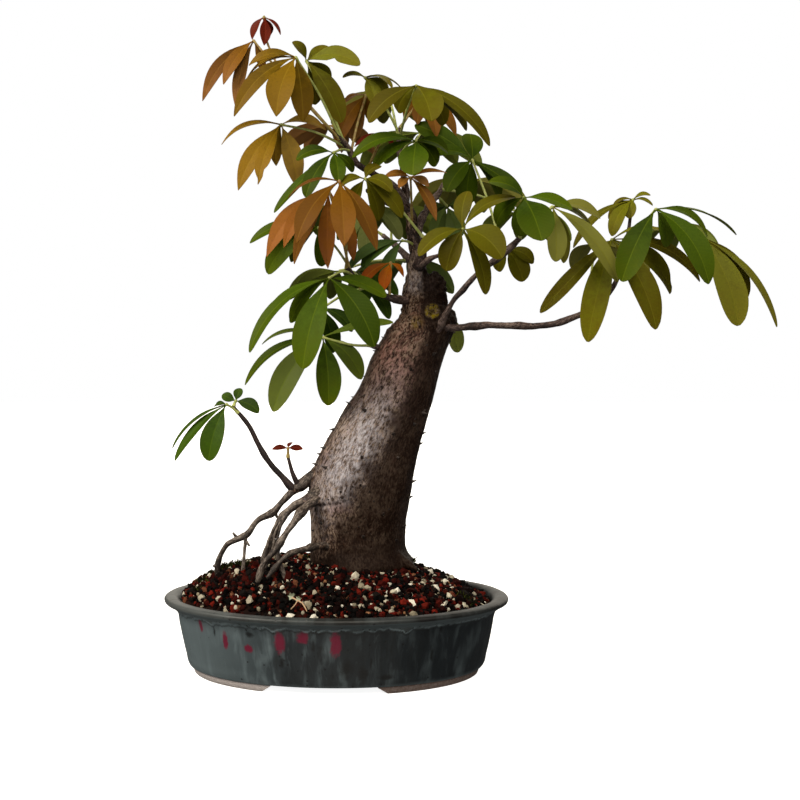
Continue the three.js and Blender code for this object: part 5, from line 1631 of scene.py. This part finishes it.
@dataclass
class Pot:
    """The shallow oval pot: glazed wall and flared lip, bare clay foot in two arcs, and two drain holes."""

    # What a place far below the glaze's edge, and one far from every blot, are marked with
    BELOW = -20.0
    FAR = 9.0

    segments: int = 400
    mean_radius: float = 140.0
    glaze_edge: float = 56.8
    foot_height: float = 6.5
    foot: tuple[float, float, float] = (108.0, 123.5, 126.0)
    cutout: tuple[float, float] = (52.0, 43.0)
    drain: tuple[float, float] = (11.0, 62.0)
    wall: tuple[Row, ...] = (
        (126, 6.4), (127.6, 6.7), (128.8, 8.2), (131.2, 17), (134.2, 30), (136.6, 42), (138.5, 52),
        (141.2, 57.2), (146.4, 59.6), (149.3, 61.2), (150, 62.9), (149.1, 64.8), (145.8, 65.9), (140.6, 66),
        (137.4, 65.2), (136, 63.2), (134.6, 57), (132.5, 50), (127, 25), (121.5, 14.5), (118, 13),
    )
    crimson: tuple[Blot, ...] = (
        Blot(-120, 37.5, 2.4, 8.5), Blot(-98.5, 24.5, 3, 10.5), Blot(-78.2, 17.4, 4.6, 3.8),
        Blot(-51.3, 22.5, 4.8, 11.5), Blot(-31, 26.4, 5.2, 6.4), Blot(-1.8, 20, 5.2, 13.5),
    )
    iron: tuple[Blot, ...] = (
        Blot(7, -1, 6, 11), Blot(22, -6, 5, 9), Blot(29, 4, 1.6, 8), Blot(-22, 18, 1.8, 8),
        Blot(-49, 5, 2.2, 7), Blot(82, 11.9, 2.2, 9), Blot(43, 14, 1.2, 8), Blot(-108, 32, 1.6, 7),
        Blot(-78, 29.5, 5, 3.2), Blot(90, 34, 2, 6), Blot(42, -8, 9, 2.5),
    )

    def on_wall(self, across: float, up: float) -> Array:
        """Finds the place on the wall's near side that the eye sees.

        Args:
            across: place across the upright plane, as seen.
            up: height in that plane, as seen.

        Returns:
            The place on the wall, in millimetres.
        """
        rows = np.array(self.wall[:10])
        for depth in np.arange(-130, 0, 0.25):
            place = seen(across, up, depth)
            x, y = place[0] - POT_MIDDLE, place[1]
            turned = np.array([x * math.cos(POT_TURN) + y * math.sin(POT_TURN),
                               -x * math.sin(POT_TURN) + y * math.cos(POT_TURN)])
            if math.hypot(turned[0], turned[1] / OVAL) <= np.interp(place[2], rows[:, 1], rows[:, 0]):
                return place
        return seen(across, up, -100)

    def nearest_blot(self, points: Array, blots: Sequence[Blot]) -> Array:
        """Measures each place from the blot nearest to it, in the blot's own half width and half height.

        Args:
            points: places on the wall.
            blots: the blots.

        Returns:
            For each place a distance that is 1 on the blot's outline.
        """
        best = np.full(len(points), self.FAR)
        for blot in blots:
            centre = self.on_wall(blot.across, blot.up)
            gap = points - centre
            beside = np.hypot(gap[:, 0], gap[:, 1])
            best = np.minimum(best, np.hypot(beside / blot.half_width, gap[:, 2] / blot.half_height))
        return best

    def shell(self) -> Draft:
        """Returns: the glazed body as a closed skin, with its glaze in relief."""
        corners = np.array(self.wall, float)
        keys = path_lengths(corners)
        outer, inner = np.arange(0, keys[13], 1.5), np.arange(keys[13], keys[-1], 5)
        steps = np.unique(np.concatenate([outer, inner, keys[-1:]]))
        profile = through(keys, corners, steps)
        profile = np.vstack([[2.0, 6.5], [60.0, 6.5], [108.0, 6.5], profile, [60.0, 13], [2.0, 13]])
        turn = once_round(self.segments) + math.pi / 2
        radius, height = [np.repeat(column, self.segments) for column in profile.T]
        way = np.tile(turn, len(profile))
        ring = np.column_stack([np.cos(way), np.sin(way) * OVAL, np.zeros_like(way)])
        wall = np.column_stack([ring[:, :2] * self.mean_radius, height])
        outer_rows = np.arange(len(profile)) < 3 + np.searchsorted(steps, keys[12])
        outside = ease(6.9, 9, height) * (radius > 120) * np.repeat(outer_rows, self.segments)
        round_it = ring * self.mean_radius
        drips = 4.4 * np.abs(rough(round_it, 9.0, 3, 3.0))
        drip = height - (self.glaze_edge - drips - 1.6 * rough(round_it, 34.0, 2, 9.0))
        runs = 0.28 * rough(wall * [1, 1, 0.12], 9.0, 2, 4.0)
        lumps = 0.3 * rough(wall, 16.0, 2, 5.0)
        coat = outside * (runs + lumps + 1.1 * ease(-0.5, 0.7, drip) * (height < 59) - 0.4)
        points = in_pot(ring * (radius + coat)[:, None] + np.column_stack([radius * 0, radius * 0, height]))
        draft = Draft()
        faces = tube_faces(len(profile), self.segments)
        draft.add(points, faces, wall=wall, drip=np.where(radius > 120, drip, self.BELOW),
                  crimson=self.nearest_blot(points, self.crimson), iron=self.nearest_blot(points, self.iron),
                  grain=points, own=0.0)
        return draft

    def foot_arc(self, draft: Draft, side: int) -> None:
        """Adds one of the foot's two arcs, cut slanting at its ends.

        Args:
            draft: the pot's mesh in the making.
            side: 1 for the right arc, -1 for the left one.
        """
        inner, outer, top = self.foot
        section = [(inner + 2, 0.25), (inner + 2.4, 0), (outer - 0.8, 0), (outer, 0.5), (top - 0.6, 5.4),
                   (top - 0.8, 7.0), (inner, 7.0)]
        count = 90
        points = []
        for k in range(count + 1):
            for radius, height in section:
                low, high = self.cutout
                limit = low + (high - low) * min(height / self.foot_height, 1)
                sweep = math.acos(limit / radius) * (2 * k / count - 1)
                points.append([side * math.cos(sweep) * radius, side * math.sin(sweep) * radius * OVAL,
                               height])
        points = np.array(points)
        points[:, :2] += 0.25 * rough(points, 9.0, 2, 6.0)[:, None]
        points = in_pot(points)
        faces = [face[::-1] for face in tube_faces(count + 1, len(section))]
        # Painted shade: the right arc takes the darker clay colours
        draft.add(points, faces, slot=1, wall=points, drip=self.BELOW, crimson=self.FAR, iron=self.FAR,
                  grain=points, own=0.19 - 0.19 * side)

    def build(self) -> Piece:
        """Returns: the pot, with its drain holes cut."""
        draft = self.shell()
        for side in (-1, 1):
            self.foot_arc(draft, side)
        glaze, clay = GlazeFinish().material(), FOOT_CLAY.material("bare_stoneware")
        pot = draft.piece("pot_body", [glaze, clay], edge=50)
        for x in (-self.drain[1], self.drain[1]):
            plug = Draft()
            turn = np.tile(once_round(48), 2)
            rings = np.column_stack([x + np.cos(turn) * self.drain[0], np.sin(turn) * self.drain[0],
                                     np.repeat([-2.0, 16.0], 48)])
            plug.add(in_pot(rings), tube_faces(2, 48))
            cutter = plug.piece("drain_plug", [])
            cut = pot.modifiers.new("drain", "BOOLEAN")
            cut.operation, cut.solver, cut.object = "DIFFERENCE", "EXACT", cutter
            mesh = worked(pot)
            pot.modifiers.clear()
            pot.data = mesh
            bpy.data.objects.remove(cutter)
        return settle(pot, "glazed_pot", "pot")


@dataclass
class DrainScreen:
    """A square of moulded mesh over a drain hole."""

    side: str
    x: float
    size: float = 34.0
    floor: float = 13.3
    pitch: float = 2.8
    strand: float = 0.5

    def build(self) -> Piece:
        """Returns: the screen, as strands that cross in one sheet."""
        draft = Draft()
        half = self.size / 2
        middle = self.floor + 0.6
        offsets = np.arange(-half + self.strand, half, self.pitch)
        for place in offsets:
            for flip in (False, True):
                level = middle + (0.25 if flip else -0.1)
                ends = np.array([[place, -half, level], [place, half, level]])
                ends = ends[:, [1, 0, 2]] if flip else ends
                points = tube(in_pot(ends + [self.x, 0, 0]), np.full(2, self.strand), 6)
                draft.add(points, tube_faces(2, 6), grain=points, own=0.2)
        piece = draft.piece(f"drain_mesh_{self.side}", [SCREEN_PLASTIC.material("moulded_screen")], edge=50)
        return settle(piece, "drain_mesh", f"drain_screen_{self.side}")


# Soil

ICOSAHEDRON = np.array([
    (0, -1, -1.618), (0, -1, 1.618), (0, 1, -1.618), (0, 1, 1.618), (-1, -1.618, 0), (-1, 1.618, 0),
    (1, -1.618, 0), (1, 1.618, 0), (-1.618, 0, -1), (1.618, 0, -1), (-1.618, 0, 1), (1.618, 0, 1),
]) / 1.902
ICOSAHEDRON_EDGE = 1.06


def icosahedron_faces() -> Faces:
    """Returns: the icosahedron's triangles, found as the corners that lie one edge apart, facing out."""
    near = np.linalg.norm(ICOSAHEDRON[:, None] - ICOSAHEDRON[None], axis=2) < ICOSAHEDRON_EDGE
    found = []
    for a in range(12):
        for b in range(a + 1, 12):
            for c in range(b + 1, 12):
                if near[a, b] and near[b, c] and near[a, c]:
                    out = np.linalg.det(ICOSAHEDRON[[a, b, c]])
                    found.append([a, b, c] if out > 0 else [a, c, b])
    return found


@dataclass
class Soil:
    """The mound: a bed of fines under loose grains of lava, cinder, fired clay and pumice."""

    edge_height: float = 62.0
    rise: float = 34.0
    lean: float = 0.035
    mouth: float = 136.0
    fines_below: float = 3.6
    trunk_foot: tuple[float, float, float] = (19.0, 44.0, 42.0)
    grains: int = 8400
    drift: float = 25.0
    dark_share: float = 0.87
    stones: tuple[Row, ...] = (
        (-77, 59, 8), (-49, 31, 7), (-98, 50, 6), (-42, 45, 9), (48, 67, 9), (55, 64, 7), (70, 34, 7),
        (72, 27, 7.5), (-26, 55, 7), (0, 70, 6), (20, 72, 7), (104, 53, 7), (91, 60, 6), (60, 45, 5.5),
        (-20, 66, 6.5), (118, 38, 5.5), (-60, 41, 5), (-8, 28, 6),
    )

    def height(self, x: Array, y: Array) -> Array:
        """Returns: the mound's height over places in the pot's own frame."""
        out = np.minimum(np.hypot(x, y / OVAL) / self.mouth, 1)
        return self.edge_height + self.rise * (1 - out ** 2.8) - self.lean * x

    def grounded(self, across: float, up: float) -> Array:
        """Finds the place on the mound that the eye sees.

        Args:
            across: place across the upright plane, as seen.
            up: height in that plane, as seen.

        Returns:
            The place, in millimetres.
        """
        for depth in np.arange(-112, 60, 0.5):
            place = seen(across, up, depth)
            x, y = place[0] - POT_MIDDLE, place[1]
            if math.hypot(x, y / OVAL) < self.mouth - 4 and place[2] <= self.height(x, y):
                return place
        return seen(across, up, 0)

    def bed(self) -> Piece:
        """Returns: the dark fines under the grains, closed down to the pot's floor."""
        count = 128
        turn = once_round(count)
        rows = [(117.8, 13.4), (125.8, 25), (131.3, 50), (133.6, 58.5)]
        grid = [np.column_stack([np.cos(turn) * radius, np.sin(turn) * radius * OVAL, np.full(count, height)])
                for radius, height in rows]
        for radius in np.linspace(133.2, 1.0, 46):
            x, y = np.cos(turn) * radius, np.sin(turn) * radius * OVAL
            ring = np.column_stack([x, y, self.height(x, y) - self.fines_below])
            ring[:, 2] += 1.3 * rough(ring, 6.0, 2, 2.0) * ease(134, 126, np.full(count, radius))
            grid.append(ring)
        points = in_pot(np.concatenate(grid))
        draft = Draft()
        own = 0.3 + 0.3 * rough(points, 9.0, 2, 3.0)
        draft.add(points, tube_faces(len(grid), count), grain=points, own=own)
        return settle(draft.piece("soil_bed", [SOIL_DUST.material("fine_soil")], edge=80), "soil", "soil")

    def scatter(self, rng: np.random.Generator) -> Array:
        """Strews the grains all over the mound.

        Args:
            rng: the mound's random numbers.

        Returns:
            Their places, clear of the trunk's foot.
        """
        out = np.sqrt(rng.uniform(0, 1, self.grains)) * (self.mouth - 2.6)
        way = rng.uniform(0, 2 * math.pi, self.grains)
        x, y = np.cos(way) * out, np.sin(way) * out * OVAL
        z = self.height(x, y) + rng.uniform(-3.0, 0.8, self.grains) - 1.6 * ease(126, 134, out)
        places = in_pot(np.column_stack([x, y, z]))
        middle, across, deep = self.trunk_foot
        return places[np.hypot((places[:, 0] - middle) / across, places[:, 1] / deep) > 0.97]

    def chips(self, kind: Chip, places: Array, sizes: Array, rng: np.random.Generator) -> Piece:
        """Makes all the grains of one kind.

        Args:
            kind: the kind of grain.
            places: their middles.
            sizes: how wide each is.
            rng: the mound's random numbers.

        Returns:
            The grains as one piece.
        """
        name, _, _, finish = kind.value
        count = len(places)
        shape = ICOSAHEDRON[None] * rng.uniform(0.62, 1.22, (count, 12, 1))
        shape = shape * rng.uniform(0.6, 1.25, (count, 1, 3)) * (sizes / 2)[:, None, None]
        turns = np.linalg.qr(rng.normal(size=(count, 3, 3)))[0]
        turns[:, :, 0] *= np.linalg.det(turns)[:, None]
        points = (shape @ turns.transpose(0, 2, 1) + places[:, None, :]).reshape(-1, 3)
        base = np.array(icosahedron_faces())
        faces = (base[None] + 12 * np.arange(count)[:, None, None]).reshape(-1, 3).tolist()
        draft = Draft()
        draft.add(points, faces, grain=points, own=np.repeat(rng.uniform(-0.12, 0.72, count), 12))
        return settle(draft.piece(f"grains_{name}", [finish.material(f"{name}_grains")], edge=0), "soil")

    def build(self) -> list[Piece]:
        """Returns: the bed and the grains, one piece for each kind."""
        rng = np.random.default_rng(21)
        places = self.scatter(rng)
        # Lava and cinder lie in drifts
        drifts = 0.35 * rough(places, self.drift, 2, 4.0)
        drawn = np.clip(rng.uniform(0, 1, len(places)) + drifts, 0, self.dark_share - 0.001)
        pale = rng.uniform(0, 1, len(places))
        drawn = np.where(pale > self.dark_share, pale, drawn)
        made = [self.bed()]
        low = 0.0
        for kind in Chip:
            _, share, size, _ = kind.value
            mine = places[(drawn >= low) & (drawn < low + share)]
            sizes = size * np.clip(rng.lognormal(0, 0.36, len(mine)), 0.5, 2.1)
            if kind is Chip.PUMICE:
                spots = np.array([self.grounded(across, up) for across, up, _ in self.stones])
                mine = np.vstack([mine, spots + [0, 0, 0.6]])
                sizes = np.append(sizes, [width for _, _, width in self.stones])
            made.append(self.chips(kind, mine, sizes, rng))
            low += share
        return made


@dataclass
class Moss:
    """Dark, bristly moss: tufts at the roots' feet and by the rim, each a bunch of fine pointed blades."""

    soil: Soil
    tufts: tuple[Row, ...] = (
        (-109, 83, 6, 3), (-101, 87, 7, 4.5), (-93, 89, 8, 5), (-85, 90, 8, 5), (-77, 91, 5, 3.5),
        (-64, 93, 5, 3), (-116, 77, 6, 3), (-30, 97, 6, 3), (-14, 99, 6, 3), (62, 95, 7, 3), (52, 98, 6, 3),
        (104, 66, 7, 2.5), (110, 62, 7, 2.5), (115, 57, 6, 2.5), (-121, 70, 6, 2.5),
    )
    blades: int = 70

    def build(self) -> Piece:
        """Returns: the tufts as one piece."""
        rng = np.random.default_rng(5)
        draft = Draft()
        shares = np.array([0.0, 0.5, 1.0])
        for across, up, width, height in self.tufts:
            foot = self.soil.grounded(across, up)
            for _ in range(self.blades):
                start = foot + rng.normal(0, width / 2.6, 3) * [1, 1, 0.1] - [0, 0, 1.0]
                way = np.array([*rng.normal(0, 0.5, 2), 1.0])
                reach = height * rng.uniform(0.6, 1.6)
                line = start + way * (shares * reach)[:, None] + np.outer(shares ** 2, rng.normal(0, 0.7, 3))
                points = tube(line, np.array([0.5, 0.4, 0.06]), 4)
                draft.add(points, tube_faces(3, 4), grain=points, own=rng.uniform(0, 0.7))
        return settle(draft.piece("moss_tufts", [MOSS_GREEN.material("bristly_moss")], edge=60), "soil")


@dataclass
class Sprig:
    """A dry, forked sprig that lies on the soil by the near rim, with the remains of a pale leaf."""

    soil: Soil
    stem: tuple[Row, ...] = ((-40, 60), (-35, 57.5), (-31.5, 55.5), (-29, 52), (-27, 48))
    fork: tuple[Row, ...] = ((-35, 57.5), (-38, 53), (-41, 50))
    leaves: tuple[Row, ...] = ((-41, 61, 3.3), (-34.5, 59, 2.6))
    rings: tuple[Row, ...] = ((0.05, 0.9), (0.6, 0.5), (1.0, 0.15), (1.0, -0.15), (0.6, 0.1), (0.05, 0.4))

    def build(self) -> Piece:
        """Returns: the sprig."""
        draft = Draft()
        for rows, thick in ((self.stem, 0.75), (self.fork, 0.55)):
            path = np.array([self.soil.grounded(*row) for row in rows]) + [0, -1.0, 2.4]
            keys = path_lengths(path)
            line = through(keys, path, np.linspace(0, keys[-1], 16))
            points = tube(line, np.linspace(thick, thick * 0.6, 16), 7, 0.15, 2.0)
            draft.add(points, tube_faces(16, 7), grain=points, own=0.4)
        turn = once_round(24)
        for k, (across, up, half) in enumerate(self.leaves):
            middle = self.soil.grounded(across, up) + [0, -1.5, 3.0]
            torn = 0.8 + 0.35 * np.sin(3 * turn + 2 * k) * np.sin(2 * turn + k) + 0.08 * np.sin(9 * turn)
            curl = -0.8 + 0.9 * np.cos(2 * turn + k)
            outline = np.column_stack([np.cos(turn) * half * torn, curl, np.sin(turn) * half * torn])
            points = np.concatenate([middle + outline * scale + [0, shift, 0] for scale, shift in self.rings])
            draft.add(points, tube_faces(6, 24), slot=1, grain=points, own=0.4)
        finishes = [DRY_STRAW.material("dry_straw"), FADED_LEAF.material("faded_leaf")]
        return settle(draft.piece("dry_sprig", finishes, edge=60), "soil")


# Studio


@dataclass
class Studio:
    """A pale floor and white air under broad, soft lights, the strongest from the left front."""

    floor_half: float = 4.0
    air: float = 0.07
    white: str = "#ffffff"
    warmth: str = "#fff6e6"

    def lamp(self, name: str, heading: float, height: float, spread: float, power: float) -> None:
        """Adds a far, broad, soft light, which falls evenly on the floor and the tree.

        Args:
            name: the light's name.
            heading: the way that it comes from, in degrees from +X.
            height: how high it stands, in degrees.
            spread: how broad it looks from the tree, in degrees.
            power: its power.
        """
        data = bpy.data.lights.new(name, "SUN")
        data.angle, data.energy = math.radians(spread), power
        data.color = tint(self.warmth)[:3]
        lamp = stand(name, data)
        lamp.rotation_euler = (0, math.radians(90 - height), math.radians(heading))

    def floor(self) -> None:
        """Adds the pale floor, which glows evenly white, gives no bounced light or reflection and casts no
        shadow.
        """
        mesh = bpy.data.meshes.new("studio_floor")
        half = self.floor_half
        corners = [(-half, -half, 0), (half, -half, 0), (half, half, 0), (-half, half, 0)]
        mesh.from_pydata(corners, [], [(0, 1, 2, 3)])
        floor = stand("studio_floor", mesh)
        made, tree, shader = new_material("matt_white_paper")
        fill(tree, shader, {"Base Color": "#f6f5f3", "Roughness": 0.9, "Specular IOR Level": 0.2,
                            "Emission Color": "#ffffff", "Emission Strength": 0.9})
        mesh.materials.append(made)
        floor.visible_diffuse = False
        floor.visible_glossy = False
        floor.visible_shadow = False

    def surround(self) -> None:
        """Sets the air: plain white to look at, and a weak even light on the tree."""
        world = bpy.data.worlds.new("studio_air")
        world.use_nodes = True
        tree = world.node_tree
        sky = tree.nodes["Background"]
        sky.inputs["Color"].default_value = tint(self.white)
        to_eye = add(tree, "LightPath").outputs["Is Camera Ray"]
        strength = add(tree, "MapRange", [to_eye, 0, 1, self.air, 1])
        tree.links.new(strength.outputs[0], sky.inputs["Strength"])
        bpy.context.scene.world = world

    def camera(self) -> None:
        """Stands the camera at the eye."""
        data = bpy.data.cameras.new("eye")
        data.lens, data.sensor_width, data.clip_start = LENS, 36.0, 0.01
        eye = stand("eye", data)
        eye.location = EYE * MM + ORIGIN
        eye.rotation_euler = (math.radians(90 - EYE_PITCH), 0, 0)
        bpy.context.scene.camera = eye

    def build(self) -> None:
        """Sets the camera, the air, the floor and the lights."""
        self.camera()
        self.surround()
        self.floor()
        self.lamp("soft_key", 210, 36, 30, 2.5)
        self.lamp("soft_front", 276, 40, 40, 1.65)
        self.lamp("soft_fill", 335, 30, 50, 0.35)
        self.lamp("paper_bounce", 265, -42, 60, 0.4)
        self.lamp("soft_back", 80, 32, 70, 1.1)
        bpy.context.scene.view_settings.view_transform = "Standard"


def main() -> None:
    """Builds the studio, then the pot, the soil, the wood and the leaves."""
    logging.basicConfig(level=logging.INFO, format="%(message)s", stream=sys.stdout)
    Studio().build()
    Pot().build()
    DrainScreen("left", -62.0).build()
    DrainScreen("right", 62.0).build()
    soil = Soil()
    soil.build()
    Moss(soil).build()
    Sprig(soil).build()
    Trunk().build()
    Limbs("branches", SHOOTS, BRANCH_BARK, 0.14).build()
    Limbs("roots", ROOTS, ROOT_BARK, 0.22).build()
    Limbs("fine_roots", FINE_ROOTS, ROOT_BARK, 0.3, 8).build()
    Limbs("root_twigs", TWIGS, TWIG_BARK, 0.12, 10).build()
    Spines().build()
    for leaf in (*LEAVES, *FAR_LEAVES):
        leaf.build()


if __name__ == "__main__":
    main()
